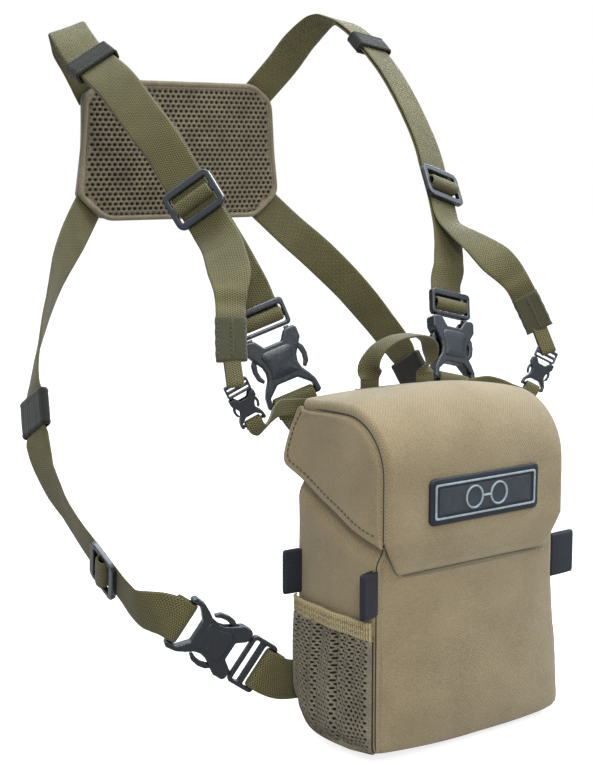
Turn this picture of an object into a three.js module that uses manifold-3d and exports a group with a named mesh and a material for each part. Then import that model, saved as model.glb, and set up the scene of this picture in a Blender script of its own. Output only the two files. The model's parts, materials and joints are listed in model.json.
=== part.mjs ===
// Binocular harness pack: a hooded pouch on a four-point webbing harness with a back pad.
// Millimetres, +Z up. The origin is the centre of the pouch's base, and the pouch's front faces -Y.
import * as THREE from "three";
import { mergeVertices } from "three/addons/utils/BufferGeometryUtils.js";
import Module from "manifold-3d";

const wasm = await Module();
wasm.setup();

const X = new THREE.Vector3(1, 0, 0);
const Y = new THREE.Vector3(0, 1, 0);
const Z = new THREE.Vector3(0, 0, 1);
const GAP = 0.3; // clearance between pieces that rest on each other
const WELD = 1e-3; // vertices closer than this are one vertex

// Pouch
const POUCH_WIDTH = 138;
const POUCH_FRONT = -39;
const POUCH_BACK = 37;
const POUCH_HEIGHT = 186.5;
const POUCH_CORNER = 8;
const WALL = 4; // laminated cloth and foam
const FRONT_WALL_TOP = 96;
const LINER = 1.2;

// Lid, a hood that opens forwards about the seam at the top of the front wall, y -41 and z 96.5
const LID_HALF = 72;
const LID_SKIN = 2;
const LID_FRONT = -42;
const LID_TOP = 191;
const LID_BACK = 36.5;
const LID_ROUND = 34; // radius of the front top edge
const LID_FOOT = 97.4; // lower edge of the front panel
const LID_FOOT_HALF = 58;
const HEM_FRONT_Z = 118;
const HEM_BACK_Y = 43;
const HEM_BACK_Z = 147;

// Badge, magnets, mesh pockets, side loops and handle
const BADGE = { width: 84, height: 26, plate: 1.8, rim: 0.8, middle: 136.5, corner: 3 };
const MAGNET = { width: 50, height: 8, thickness: 1.5 };
const POCKET = { front: -35, back: 34, floor: 2, top: 72, bulge: 7, skin: 1.4 };
const LOOP = { reach: 14, skin: 1.6, low: 75, high: 100.5, slot: 1 };
const HANDLE = { middle: 7, half: 22, rise: 25, width: 14.5, skin: 1.6, lean: 9 };
const HANDLE_Y = POUCH_BACK + 1.3;
const HANDLE_HINGE_Z = 192.4; // the fold line of the handle, just above the lid's rear edge

// Back pad
const PAD_FACE_Y = 255; // the face on the wearer's back
const PAD_FACE = 2.5;
const PAD_CORE = 6;
const PAD_BOTTOM = 282;
const PAD_TOP = 375;

// Webbing and its hardware
const WEBBING = 25;
const TAPE = 1.5;
const NARROW = 9.6;
const THIN_TAPE = 1.2;
const LAYER = 2; // distance between the middles of two layers of webbing
const KEEPER = { length: 15, skin: 1.2, room: 1.15 };
const LOWER_KEEPER = 24;
const TRIGLIDE = { width: 33, length: 25, thickness: 3.2, bar: 4, slot: 6.2, corner: 4.5 };
const BUCKLE = {
  half: 30, // from the middle to either end
  ear: 16.5,
  thickness: 7.6,
  cavity: 4.4,
  arm: 3.6,
  frame: 4.2,
  bar: 3.8, // each end bar along the strap
  barThickness: 2.8,
};
const LADDER_BAR = 20.8; // the plug's middle bar, from the buckle's middle
const MINI = 0.46; // scale of the small tether buckle

// ---------------------------------------------------------------- solids

function solid(geometry) {
  const plain = geometry.clone();
  plain.deleteAttribute("normal");
  plain.deleteAttribute("uv");
  const merged = mergeVertices(plain, WELD);
  return new wasm.Manifold(
    new wasm.Mesh({
      numProp: 3,
      vertProperties: merged.attributes.position.array,
      triVerts: new Uint32Array(merged.index.array),
    }),
  );
}

function geometryOf(made) {
  const mesh = made.getMesh();
  const geometry = new THREE.BufferGeometry();
  geometry.setAttribute("position", new THREE.BufferAttribute(mesh.vertProperties, 3));
  geometry.setIndex(new THREE.BufferAttribute(mesh.triVerts, 1));
  geometry.computeVertexNormals();
  return geometry;
}

// A shape through points of [u, v], turned anticlockwise so that holes can be cut in it.
function polygon(points) {
  const corners = points.map(([u, v]) => new THREE.Vector2(u, v));
  return new THREE.Shape(THREE.ShapeUtils.isClockWise(corners) ? corners.reverse() : corners);
}

// The right half of a closed outline and its reflection.
function bothHalves(right) {
  return [...right, ...right.map(([u, v]) => [-u, v]).reverse()];
}

function roundedRect(width, height, radius, u = 0, v = 0, path = new THREE.Shape()) {
  const right = u + width / 2 - radius;
  const left = u - width / 2 + radius;
  const top = v + height / 2 - radius;
  const bottom = v - height / 2 + radius;
  path.absarc(right, bottom, radius, -Math.PI / 2, 0);
  path.absarc(right, top, radius, 0, Math.PI / 2);
  path.absarc(left, top, radius, Math.PI / 2, Math.PI);
  path.absarc(left, bottom, radius, Math.PI, 1.5 * Math.PI);
  path.closePath();
  return path;
}

function extrude(shape, depth, curveSegments = 5) {
  return new THREE.ExtrudeGeometry(shape, { depth, bevelEnabled: false, curveSegments });
}

// A shape drawn in y and z, carried from x0 to x1.
function alongX(shape, x0, x1) {
  const place = new THREE.Matrix4().makeBasis(Y, Z, X).setPosition(x0, 0, 0);
  return extrude(shape, x1 - x0).applyMatrix4(place);
}

// A shape drawn in x and z, carried from y0 to y1.
function alongY(shape, y0, y1) {
  const place = new THREE.Matrix4().makeBasis(X, Z, Y.clone().negate()).setPosition(0, y1, 0);
  return extrude(shape, y1 - y0).applyMatrix4(place);
}

// A shape drawn in x and y, carried from z0 to z1.
function alongZ(shape, z0, z1) {
  return extrude(shape, z1 - z0).translate(0, 0, z0);
}

function planRect(front, back, half, radius) {
  return roundedRect(2 * half, back - front, radius, 0, (front + back) / 2);
}

// ---------------------------------------------------------------- webbing

// A frame on a strap: t along it, w across it, n out of its outer face.
// A turn rolls the strap about its own line, and a positive turn faces it outwards.
function strapFrame(at, t, turn, side, across) {
  const reference = side > 0 ? across.clone() : new THREE.Vector3(across.x, -across.y, -across.z);
  const flat = reference.addScaledVector(t, -reference.dot(t)).normalize();
  const up = new THREE.Vector3().crossVectors(t, flat);
  const angle = THREE.MathUtils.degToRad(turn) * side;
  const w = flat.multiplyScalar(Math.cos(angle)).addScaledVector(up, -Math.sin(angle)).normalize();
  return { at, t, w, n: new THREE.Vector3().crossVectors(t, w) };
}

// Frames along a smooth line through stations of [x, y, z, left turn, right turn, lift].
// They describe the right-hand strap. The left one is its mirror image, except that the harness
// hangs unevenly: the lift raises the right strap and lowers the left one.
function strapFrames(stations, side, across, perSpan = 3) {
  const curve = new THREE.CatmullRomCurve3(
    stations.map(([x, y, z, , , lift]) => new THREE.Vector3(side * x, y, z + side * lift)),
    false,
    "centripetal",
  );
  const turns = stations.map((s) => (side > 0 ? s[4] : s[3]));
  const count = (stations.length - 1) * perSpan;
  return Array.from({ length: count + 1 }, (_, i) => {
    const whole = Math.min(Math.floor(i / perSpan), stations.length - 2);
    const turn = THREE.MathUtils.lerp(turns[whole], turns[whole + 1], i / perSpan - whole);
    return strapFrame(curve.getPoint(i / count), curve.getTangent(i / count), turn, side, across);
  });
}

function shifted(frames, distance) {
  return frames.map((f) => ({ ...f, at: f.at.clone().addScaledVector(f.n, distance) }));
}

// Four-cornered rings joined into a closed strip of webbing.
function strip(frames, width, thickness = TAPE) {
  const corners = [
    [1, 1],
    [-1, 1],
    [-1, -1],
    [1, -1],
  ];
  const positions = [];
  const faces = [];
  frames.forEach((f, i) => {
    const half = (f.width ?? width) / 2;
    for (const [a, b] of corners) {
      const corner = f.at.clone().addScaledVector(f.w, a * half).addScaledVector(f.n, (b * thickness) / 2);
      positions.push(...corner.toArray());
    }
    if (i === 0) return;
    const ring = 4 * (i - 1);
    for (let k = 0; k < 4; k++) {
      const next = (k + 1) % 4;
      faces.push(ring + k, ring + next, ring + 4 + next);
      faces.push(ring + k, ring + 4 + next, ring + 4 + k);
    }
  });
  const last = 4 * (frames.length - 1);
  faces.push(0, 2, 1, 0, 3, 2);
  faces.push(last, last + 1, last + 2, last, last + 2, last + 3);
  const geometry = new THREE.BufferGeometry();
  geometry.setAttribute("position", new THREE.Float32BufferAttribute(positions, 3));
  geometry.setIndex(faces);
  geometry.computeVertexNormals();
  return geometry;
}

// Frames through points given as [along, out] in a flat frame, all sharing its across direction.
function inFrame(base, points) {
  const place = ([along, out]) =>
    base.at.clone().addScaledVector(base.t, along).addScaledVector(base.n, out);
  const curve = new THREE.CatmullRomCurve3(points.map(place), false, "centripetal");
  const count = 2 * (points.length - 1);
  return Array.from({ length: count + 1 }, (_, i) => {
    const t = curve.getTangent(i / count);
    return { at: curve.getPoint(i / count), t, w: base.w, n: new THREE.Vector3().crossVectors(t, base.w) };
  });
}

// A point [along, out] of a turn round a bar, at an angle measured from +t towards outwards.
function onCircle(bar, radius, degrees) {
  const angle = THREE.MathUtils.degToRad(degrees);
  return [bar + radius * Math.cos(angle), radius * Math.sin(angle)];
}

// Places a geometry drawn with x across, y back along the strap and z outwards.
function onStrap(geometry, frame, out = 0) {
  const at = frame.at.clone().addScaledVector(frame.n, out);
  const place = new THREE.Matrix4().makeBasis(frame.w, frame.t.clone().negate(), frame.n).setPosition(at);
  return geometry.clone().applyMatrix4(place);
}

function reversedRun(frames) {
  return frames.map(reversed).reverse();
}

// Turns a frame round so that the hardware on it points the other way along the strap.
function reversed(frame) {
  return { at: frame.at, t: frame.t.clone().negate(), w: frame.w.clone().negate(), n: frame.n };
}

// ---------------------------------------------------------------- pouch

function lidLineCut() {
  return solid(
    alongX(
      polygon([
        [-60, FRONT_WALL_TOP],
        [-33, FRONT_WALL_TOP],
        [-26, 150],
        [24, 176],
        [POUCH_BACK - WALL, 178],
        [POUCH_BACK - WALL, 230],
        [-60, 230],
      ]),
      -100,
      100,
    ),
  );
}

function pouchShell() {
  const half = POUCH_WIDTH / 2;
  const outer = solid(alongZ(planRect(POUCH_FRONT, POUCH_BACK, half, POUCH_CORNER), 0, POUCH_HEIGHT));
  const cavity = planRect(POUCH_FRONT + WALL, POUCH_BACK - WALL, half - WALL, POUCH_CORNER - WALL + 1);
  const inner = solid(alongZ(cavity, WALL, POUCH_HEIGHT + 10));
  const magnetPocket = solid(
    new THREE.BoxGeometry(MAGNET.width + 2 * GAP, MAGNET.thickness + 2 * GAP, 20).translate(
      0,
      POUCH_BACK - WALL / 2,
      POUCH_HEIGHT - MAGNET.height - 1 + 10,
    ),
  );
  return geometryOf(outer.subtract(inner).subtract(lidLineCut()).subtract(magnetPocket));
}

function pouchLiner() {
  const front = POUCH_FRONT + WALL + GAP;
  const back = POUCH_BACK - WALL - GAP;
  const half = POUCH_WIDTH / 2 - WALL - GAP;
  const low = WALL + GAP;
  const outer = solid(alongZ(planRect(front, back, half, 5), low, 176));
  const inner = solid(alongZ(planRect(front + LINER, back - LINER, half - LINER, 4), low + LINER, 200));
  return geometryOf(outer.subtract(inner).subtract(lidLineCut().translate([0, 0, -3])));
}

function magnetBar(y, z) {
  return new THREE.BoxGeometry(MAGNET.width, MAGNET.thickness, MAGNET.height).translate(0, y, z);
}

function pouchMagnet() {
  return magnetBar(POUCH_BACK - WALL / 2, POUCH_HEIGHT - 0.6 - MAGNET.height / 2);
}

function lidMagnet() {
  const lying = new THREE.BoxGeometry(MAGNET.width, MAGNET.height, MAGNET.thickness);
  return lying.translate(0, 31, LID_TOP - LID_SKIN - GAP - MAGNET.thickness / 2);
}

// The lid's side outline, from the hem's front corner over the top to the hem's rear corner.
function lidOutline(skin, open) {
  const shape = new THREE.Shape();
  const front = LID_FRONT + skin;
  const radius = LID_ROUND - skin;
  const top = LID_TOP - skin;
  shape.moveTo(front, open ? 60 : HEM_FRONT_Z);
  shape.lineTo(front, top - radius);
  shape.absarc(front + radius, top - radius, radius, Math.PI, Math.PI / 2, true);
  if (open) {
    shape.lineTo(80, top);
    shape.lineTo(80, 60);
  } else {
    shape.lineTo(LID_BACK, top);
    shape.lineTo(LID_BACK + 0.4, 170);
    shape.lineTo(HEM_BACK_Y, HEM_BACK_Z + 8);
    shape.quadraticCurveTo(HEM_BACK_Y + 1, HEM_BACK_Z, HEM_BACK_Y - 8, HEM_BACK_Z - 3);
  }
  shape.closePath();
  return shape;
}

function lidShell() {
  const outer = solid(alongX(lidOutline(0, false), -LID_HALF, LID_HALF));
  const inside = solid(alongX(lidOutline(LID_SKIN, true), LID_SKIN - LID_HALF, LID_HALF - LID_SKIN));
  const foot = solid(
    alongY(
      polygon([
        [-LID_FOOT_HALF, LID_FOOT],
        [LID_FOOT_HALF, LID_FOOT],
        [LID_HALF, HEM_FRONT_Z + 1],
        [-LID_HALF, HEM_FRONT_Z + 1],
      ]),
      LID_FRONT,
      LID_FRONT + LID_SKIN,
    ),
  );
  return geometryOf(outer.subtract(inside).add(foot));
}

function badge() {
  const { width, height, plate, rim, middle, corner } = BADGE;
  const back = LID_FRONT - GAP;
  const base = solid(alongY(roundedRect(width, height, corner, 0, middle), back - plate, back));
  const border = roundedRect(width - 2, height - 2, corner - 1, 0, middle);
  border.holes.push(roundedRect(width - 6, height - 6, corner - 1.5, 0, middle, new THREE.Path()));
  return geometryOf(base.add(solid(alongY(border, back - plate - rim, back - plate + 0.2))));
}

// A stretch-mesh pocket seen from above is a shallow bow against the side of the pouch.
function bow(inset) {
  const { front, back, bulge } = POCKET;
  const face = POUCH_WIDTH / 2 + GAP;
  const shape = new THREE.Shape();
  shape.moveTo(face, front + inset);
  shape.bezierCurveTo(
    face + (bulge - inset) * 1.35,
    front + inset + 6,
    face + (bulge - inset) * 1.35,
    back - inset - 6,
    face,
    back - inset,
  );
  shape.closePath();
  return shape;
}

function meshPocket(side) {
  const outer = solid(alongZ(bow(0), POCKET.floor, POCKET.top));
  const inner = solid(alongZ(bow(POCKET.skin), POCKET.floor + POCKET.skin, POCKET.top + 10).translate(-0.01, 0, 0));
  return mirrored(geometryOf(outer.subtract(inner)), side);
}

// Reflects a right-hand geometry to the left when the side is -1.
function mirrored(geometry, side) {
  if (side > 0) return geometry;
  const flipped = geometry.clone().scale(-1, 1, 1);
  const index = flipped.index.array;
  for (let i = 0; i < index.length; i += 3) {
    [index[i + 1], index[i + 2]] = [index[i + 2], index[i + 1]];
  }
  flipped.computeVertexNormals();
  return flipped;
}

// A folded piece of webbing sewn into a vertical seam, open as a slot from top to bottom.
function sideLoop(side, y) {
  const outerHalf = LOOP.skin + LOOP.slot / 2;
  const face = POUCH_WIDTH / 2 + GAP;
  const tip = face + LOOP.reach - outerHalf;
  const shape = new THREE.Shape();
  shape.moveTo(face, y + outerHalf);
  shape.lineTo(face, y - outerHalf);
  shape.absarc(tip, y, outerHalf, -Math.PI / 2, Math.PI / 2);
  shape.closePath();
  const slot = new THREE.Path();
  slot.moveTo(face + 2, y + LOOP.slot / 2);
  slot.lineTo(face + 2, y - LOOP.slot / 2);
  slot.absarc(tip, y, LOOP.slot / 2, -Math.PI / 2, Math.PI / 2);
  slot.closePath();
  shape.holes.push(slot);
  return mirrored(geometryOf(solid(alongZ(shape, LOOP.low, LOOP.high))), side);
}

// The handle is an arch of webbing that leans forwards over the lid from its fold line.
// Its feet lie flat on the back panel, and each leg turns through a quarter twist as it rises.
function grabHandle() {
  const { middle, half, rise, width, skin, lean } = HANDLE;
  const foot = HANDLE_HINGE_Z + 3 * GAP;
  const rightLeg = [
    [half, 0, 0],
    [half, 0, 0.14],
    [1.05 * half, 0.2, 0.4],
    [0.92 * half, 0.65, 0.76],
    [0.42 * half, 1, 1],
  ];
  const leftLeg = rightLeg.map(([u, forward, up]) => [-u, forward, up]);
  const arch = [...leftLeg, ...rightLeg.reverse()];
  const curve = new THREE.CatmullRomCurve3(
    arch.map(([u, forward, up]) => new THREE.Vector3(middle + u, HANDLE_Y - forward * lean, foot + up * rise)),
    false,
    "centripetal",
  );
  const count = 3 * (arch.length - 1);
  const frames = Array.from({ length: count + 1 }, (_, i) => {
    const t = curve.getTangent(i / count);
    const w = Y.clone().addScaledVector(t, -t.y).normalize();
    const n = new THREE.Vector3().crossVectors(t, w);
    const fromFoot = Math.min(i, count - i) / count;
    const twist = THREE.MathUtils.smoothstep(fromFoot, 0.02, 0.3) * (Math.PI / 2);
    const across = w.multiplyScalar(Math.sin(twist)).addScaledVector(n, Math.cos(twist));
    return { at: curve.getPoint(i / count), t, w: across, n: new THREE.Vector3().crossVectors(t, across) };
  });
  return strip(frames, width, skin);
}

// The sewn strip that carries the handle's two feet on the back panel.
function handleAnchor() {
  const { middle, half, width, skin } = HANDLE;
  const top = HANDLE_HINGE_Z - GAP;
  const inner = half - width / 2;
  const outer = half + width / 2;
  const right = [
    [inner, POUCH_HEIGHT - 4],
    [inner, top],
    [outer, top],
    [outer, POUCH_HEIGHT - 20],
  ];
  const back = HANDLE_Y + skin / 2;
  return alongY(polygon(bothHalves(right)), back - skin, back).translate(middle, 0, 0);
}

// ---------------------------------------------------------------- back pad

function padOutline(inset) {
  const shape = new THREE.Shape();
  const top = PAD_TOP - inset;
  const bottom = PAD_BOTTOM + inset;
  shape.moveTo(-62 + inset / 2, top);
  shape.quadraticCurveTo(0, top - 2, 62 - inset / 2, top);
  shape.lineTo(77.5 - inset, 364);
  shape.quadraticCurveTo(75.5 - inset, 330, 83 - inset, 298);
  shape.lineTo(63 - inset / 2, bottom);
  shape.quadraticCurveTo(0, bottom + 1.5, -63 + inset / 2, bottom);
  shape.lineTo(-83 + inset, 298);
  shape.quadraticCurveTo(-75.5 + inset, 330, -77.5 + inset, 364);
  shape.closePath();
  return shape;
}

function padFace() {
  return alongY(padOutline(0), PAD_FACE_Y, PAD_FACE_Y + PAD_FACE);
}

function backPad() {
  const front = PAD_FACE_Y + PAD_FACE + GAP;
  return alongY(padOutline(1), front, front + PAD_CORE);
}

// ---------------------------------------------------------------- webbing runs

// Stations are [x, y, z, left turn, right turn, lift] of the right-hand strap.
const PAD_MIDDLE = PAD_FACE_Y + PAD_FACE + GAP + PAD_CORE / 2;
const SHOULDER_BACK = [
  [72, PAD_MIDDLE, 372.5, 12, 12, 0],
  [84, 253, 387, 15, 15, 2],
  [96, 244, 402, 18, 15, 6],
  [105, 230, 412.5, 20, 10, 8],
  [110, 214, 408, 26, 8, 10],
];
const SHOULDER_FRONT = [
  [111.8, 198.5, 398.4, 36, 9, 11],
  [111.6, 182.5, 388.3, 36, 9, 9],
  [110.6, 162, 373.5, 46, 11, 6],
  [108.8, 140, 352, 54, 12, 3],
  [105.5, 121, 331, 56, 12, 0],
  [101.5, 109.8, 315, 56, 12, 0],
  [97.5, 98.5, 299, 56, 12, 0],
  [93.5, 87.3, 283, 54, 12, 0],
];
const TETHER = [
  [95.3, 76.5, 275.5, 42, 0, 0],
  [99.8, 65.5, 268, 36, -12, 0],
  [105, 54, 258.5, 32, -30, 0],
  [110, 46.5, 250, 30, -40, 0],
  [114, 41, 240, 28, -42, 0],
  [118.5, 34.5, 225, 28, -42, 0],
  [121.8, 29, 212, 28, -40, 0],
  [122.7, 26.6, 208.4, 28, -36, 0],
];
const BUCKLE_RUN = [
  [88.4, 79.6, 269.5, 46, 4, 0],
  [83.2, 73.6, 256, 40, 0, 0],
];
const SHOULDER_BUCKLE = { at: [69.5, 58.5, 211.5], along: [-0.24, -0.32, -0.92], left: 32, right: 0 };
const LOWER_RUN = [
  [75, PAD_MIDDLE, 288.5, 14, 14, 0],
  [90, 252, 272, 14, 14, 0],
  [107, 240.5, 254, 4, 4, 0],
  [126, 224, 229, -12, -12, 0],
  [141.5, 210, 204, -20, -20, 0],
  [152.1, 197.5, 182.6, -20, -20, 0],
  [155.5, 189.5, 168, -20, -20, 0],
  [158.9, 181.5, 153.4, -20, -20, 0],
  [160, 168.5, 134, 4, 0, 0],
  [159.2, 150, 117, 20, 16, 0],
  [158.4, 131, 102.7, 22, 20, 0],
  [155.6, 108, 87, 22, 20, 0],
  [153.8, 93.2, 76.9, 22, 20, 0],
  [152.6, 84.5, 71, 18, 16, 0],
];
const LOWER_BUCKLE = { at: [113.5, 52.5, 46.5], along: [-0.75, -0.36, -0.56], left: 0, right: 0 };

function buckleFrame(place, side, across) {
  const [x, y, z] = place.at;
  const t = new THREE.Vector3(side * place.along[0], place.along[1], place.along[2]).normalize();
  return strapFrame(new THREE.Vector3(side * x, y, z), t, side > 0 ? place.right : place.left, side, across);
}

// The frame at a given distance along a run of frames, counted from its start.
function frameNear(frames, height) {
  return frames.reduce((best, f) => (Math.abs(f.at.z - height) < Math.abs(best.at.z - height) ? f : best));
}

function towards(x, y, z) {
  return new THREE.Vector3(x, y, z).normalize();
}

function smoothTo(frames, next) {
  const last = frames[frames.length - 1];
  const reach = last.at.distanceTo(next.at);
  const curve = new THREE.CubicBezierCurve3(
    last.at,
    last.at.clone().addScaledVector(last.t, reach / 3),
    next.at.clone().addScaledVector(next.t, -reach / 3),
    next.at,
  );
  return [0.25, 0.5, 0.75].map((u) => {
    const t = curve.getTangent(u);
    const w = last.w.clone().lerp(next.w, u);
    w.addScaledVector(t, -w.dot(t)).normalize();
    return { at: curve.getPoint(u), t, w, n: new THREE.Vector3().crossVectors(t, w) };
  });
}

const DOWN = Z.clone().negate();

function shoulderFrames(side) {
  return strapFrames([...SHOULDER_BACK, ...SHOULDER_FRONT, ...TETHER], side, X);
}

// The upper layer: from the pad over the shoulder and the tri-glide to the narrow tether end.
function shoulderStrap(side) {
  const frames = shoulderFrames(side);
  const sleeveStart = frames.findIndex((f) => f.at.z < 239 && f.at.y < 60);
  const sleeveEnd = frames.findIndex((f) => f.at.z < 213 && f.at.y < 60);
  const widths = frames.map((f, i) => {
    if (i < sleeveStart) return WEBBING;
    return i < sleeveEnd ? 21 : NARROW;
  });
  return strip(frames.map((f, i) => ({ ...f, width: widths[i] })), WEBBING);
}

// The lower layer: from the keeper under the upper layer, then down to the buckle.
function buckleStrap(side) {
  const upper = strapFrames([...SHOULDER_BACK, ...SHOULDER_FRONT, ...TETHER], side, X);
  const start = 3 * (SHOULDER_BACK.length - 1);
  const end = 3 * (SHOULDER_BACK.length + SHOULDER_FRONT.length - 2) + 1;
  const under = shifted(upper.slice(start, end), -LAYER);
  const run = strapFrames([SHOULDER_FRONT[SHOULDER_FRONT.length - 1], ...BUCKLE_RUN], side, X);
  const free = shifted(run.slice(4), -LAYER);
  const hook = ladderHook(buckleFrame(SHOULDER_BUCKLE, side, X));
  return strip([...under, ...free, ...smoothTo(free, hook[0]), ...hook], WEBBING);
}

// Webbing threaded through a ladder: under the frame, up, over the middle bar and down again.
function ladderHook(frame) {
  const bar = -LADDER_BAR;
  const turn = 3.5;
  const under = -BUCKLE.frame / 2 - TAPE / 2 - GAP;
  return inFrame(frame, [
    [-36, under],
    [-27, under],
    [bar, under],
    [bar + turn - 1, under + 1],
    [bar + turn, -0.5],
    ...[45, 90, 135].map((degrees) => onCircle(bar, turn, degrees)),
    [bar - turn, 0],
    [bar - turn, -1],
  ]);
}

// Webbing sewn round an end bar: a hook from under the bar, through the opening and back over it.
// The bar is on the far side of its opening, and the webbing leaves it along +t.
function barLoop(frame) {
  const bar = BUCKLE.half - BUCKLE.bar / 2;
  const turn = 3.3;
  return inFrame(frame, [
    [bar + 9, -turn + 0.7],
    [bar + 4, -turn],
    ...[-90, -135, 180, 135, 90].map((degrees) => onCircle(bar, turn, degrees)),
    [bar + 5, turn - 0.6],
  ]);
}

function shoulderTab(side) {
  const hook = barLoop(buckleFrame(SHOULDER_BUCKLE, side, X));
  const seamAt = new THREE.Vector3(side * 55, POUCH_BACK + 2, 164);
  const seam = strapFrame(seamAt, new THREE.Vector3(-0.15 * side, 0, -1).normalize(), 0, side, X);
  return strip([...hook, ...smoothTo(hook, seam), seam], WEBBING);
}

function lowerTab(side) {
  const hook = barLoop(buckleFrame(LOWER_BUCKLE, side, DOWN));
  const seamAt = new THREE.Vector3(side * 56, POUCH_BACK + 2.6, 21);
  const seam = strapFrame(seamAt, new THREE.Vector3(-side, 0, 0), 0, side, DOWN);
  return strip([...hook, ...smoothTo(hook, seam), seam], WEBBING);
}

// The lower strap ends in a loop round the bar of the socket, so the loop is met end on.
function lowerStrap(side) {
  const frames = strapFrames(LOWER_RUN, side, DOWN);
  const buckle = reversed(buckleFrame(LOWER_BUCKLE, side, DOWN));
  const hook = reversedRun(barLoop(buckle));
  return strip([...frames, ...smoothTo(frames, hook[0]), ...hook], WEBBING);
}

function tube(length, height, skin) {
  const shape = roundedRect(WEBBING + 2 * (KEEPER.room + skin), height + 2 * (KEEPER.room + skin), 1.4);
  shape.holes.push(
    roundedRect(WEBBING + 2 * KEEPER.room, height + 2 * KEEPER.room, 0.6, 0, 0, new THREE.Path()),
  );
  const place = new THREE.Matrix4().makeBasis(X, Z, Y.clone().negate()).setPosition(0, length / 2, 0);
  return extrude(shape, length, 3).applyMatrix4(place);
}

// ---------------------------------------------------------------- tri-glide

function triglideFrame() {
  const { width, length, thickness, bar, slot, corner } = TRIGLIDE;
  const shape = roundedRect(width, length, corner);
  for (const way of [-1, 1]) {
    const middle = way * (bar / 2 + slot / 2);
    shape.holes.push(roundedRect(WEBBING + 1.4, slot, 1.2, 0, middle, new THREE.Path()));
  }
  return extrude(shape, thickness, 4).translate(0, 0, -thickness / 2);
}

// The webbing over the tri-glide's centre bar, with both legs down through the slots.
function triglideWrap(frame) {
  const turn = TRIGLIDE.bar / 2 + TAPE / 2 + 0.5;
  const leg = -TRIGLIDE.thickness / 2 + 0.1;
  return strip(
    inFrame(frame, [
      [-turn, leg],
      [-turn, 0.2],
      [-turn * 0.78, 2.7],
      [0, 3.5],
      [turn * 0.78, 2.7],
      [turn, 0.2],
      [turn, leg],
    ]),
    WEBBING,
  );
}

// ---------------------------------------------------------------- side-release buckle

// Drawn with x across, +y towards the plug and z outwards, centred between its two end bars.
function buckleFemale() {
  const { half, ear, thickness, cavity } = BUCKLE;
  const rightSide = [
    [5.5, 5.5],
    [9, 10.5],
    [11, 11.5],
    [15, 11.5],
    [ear, 10],
    [ear, 4],
    [13.5, -0.5],
    [10.6, -5],
    [9.8, -9],
    [10.6, -13],
    [13.6, -17.5],
    [15.8, -22],
    [ear, -half + 1.5],
    [15, -half],
  ];
  const outline = polygon(bothHalves(rightSide));
  const window = [
    [6.5, -17.5],
    [13.1, -23.4],
    [13.1, -half + BUCKLE.bar],
  ];
  outline.holes.push(polygon(bothHalves(window)));
  const body = solid(extrude(outline, thickness).translate(0, 0, -thickness / 2));
  const hollow = solid(new THREE.BoxGeometry(2 * 14.7, 32, cavity).translate(0, 1, 0));
  const thinned = thinnedBar(body.subtract(hollow), -half + 1, 8);
  return geometryOf(thinned);
}

// Cuts a bar down to its own thickness between the legs that carry it.
function thinnedBar(made, middle, length) {
  const cut = (way) =>
    solid(new THREE.BoxGeometry(WEBBING + 1.4, length, 3).translate(0, middle, way * (BUCKLE.barThickness / 2 + 1.5)));
  return made.subtract(cut(1)).subtract(cut(-1));
}

// The plug's ladder frame: a top bar, a slot, a centre bar and a second slot.
function plugFrameShape() {
  const shape = roundedRect(31, 17, 2.5, 0, BUCKLE.half - 8.5);
  for (const way of [-1, 1]) {
    const middle = LADDER_BAR + way * 3.6;
    shape.holes.push(roundedRect(WEBBING + 1.4, 3.4, 0.8, 0, middle, new THREE.Path()));
  }
  return shape;
}

function plugFrame() {
  const frame = solid(extrude(plugFrameShape(), BUCKLE.frame, 3).translate(0, 0, -BUCKLE.frame / 2));
  return thinnedBar(frame, LADDER_BAR, 5);
}

// The end bar of a plug whose webbing is sewn round it is as thin as the socket's.
function buckleMale(sewn) {
  return geometryOf(sewn ? thinnedBar(plugFrame(), BUCKLE.half, 8.8) : plugFrame());
}

// A release arm: a springy strip that bows out through the side window.
function armShape(root) {
  const outer = [
    [12.8, root],
    [13.6, 6],
    [14.2, 1.5],
    [16.3, -1.5],
    [16.9, -6],
    [16, -11],
    [13.2, -14],
  ];
  const inner = [
    [12, -12.5],
    [13.4, -9.5],
    [13.9, -6],
    [13, -2],
    [11.4, 1.5],
    [10.4, 6],
    [9.8, root],
  ];
  return polygon([...outer, ...inner]);
}

function buckleArm(side, root = 12.6) {
  const right = extrude(armShape(root), BUCKLE.arm).translate(0, 0, -BUCKLE.arm / 2);
  return mirrored(geometryOf(solid(right)), side);
}

function miniFemale() {
  return buckleFemale().scale(MINI, MINI, MINI);
}

function miniMale() {
  const arms = [-1, 1].map((side) => solid(buckleArm(side, 14)));
  return geometryOf(plugFrame().add(arms[0]).add(arms[1])).scale(MINI, MINI, MINI);
}

const MINI_BUCKLE = { at: [116.3, 25.5, 191], along: [-0.5, 0.04, -0.86], left: 20, right: -30 };

// Narrow webbing from the small buckle to the pouch's upper rear corner.
function tetherTab(side) {
  const frame = buckleFrame(MINI_BUCKLE, side, X);
  const bar = (BUCKLE.half - BUCKLE.bar / 2) * MINI;
  const turn = 1.85;
  const hook = inFrame(frame, [
    [bar + 4, -turn],
    ...[-90, -135, 180, 135, 90].map((degrees) => onCircle(bar, turn, degrees)),
    [bar + 2.5, turn],
  ]);
  const corner = strapFrame(new THREE.Vector3(side * 82, 38, 183), towards(-side, 0.35, 0), 0, side, DOWN);
  const seamAt = new THREE.Vector3(side * 60, POUCH_BACK + 2.4, 182);
  const seam = strapFrame(seamAt, new THREE.Vector3(-side, 0, 0), 0, side, DOWN);
  const toCorner = [...hook, ...smoothTo(hook, corner), corner];
  return strip([...toCorner, ...smoothTo(toCorner, seam), seam], NARROW, THIN_TAPE);
}

// ---------------------------------------------------------------- assembly

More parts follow.
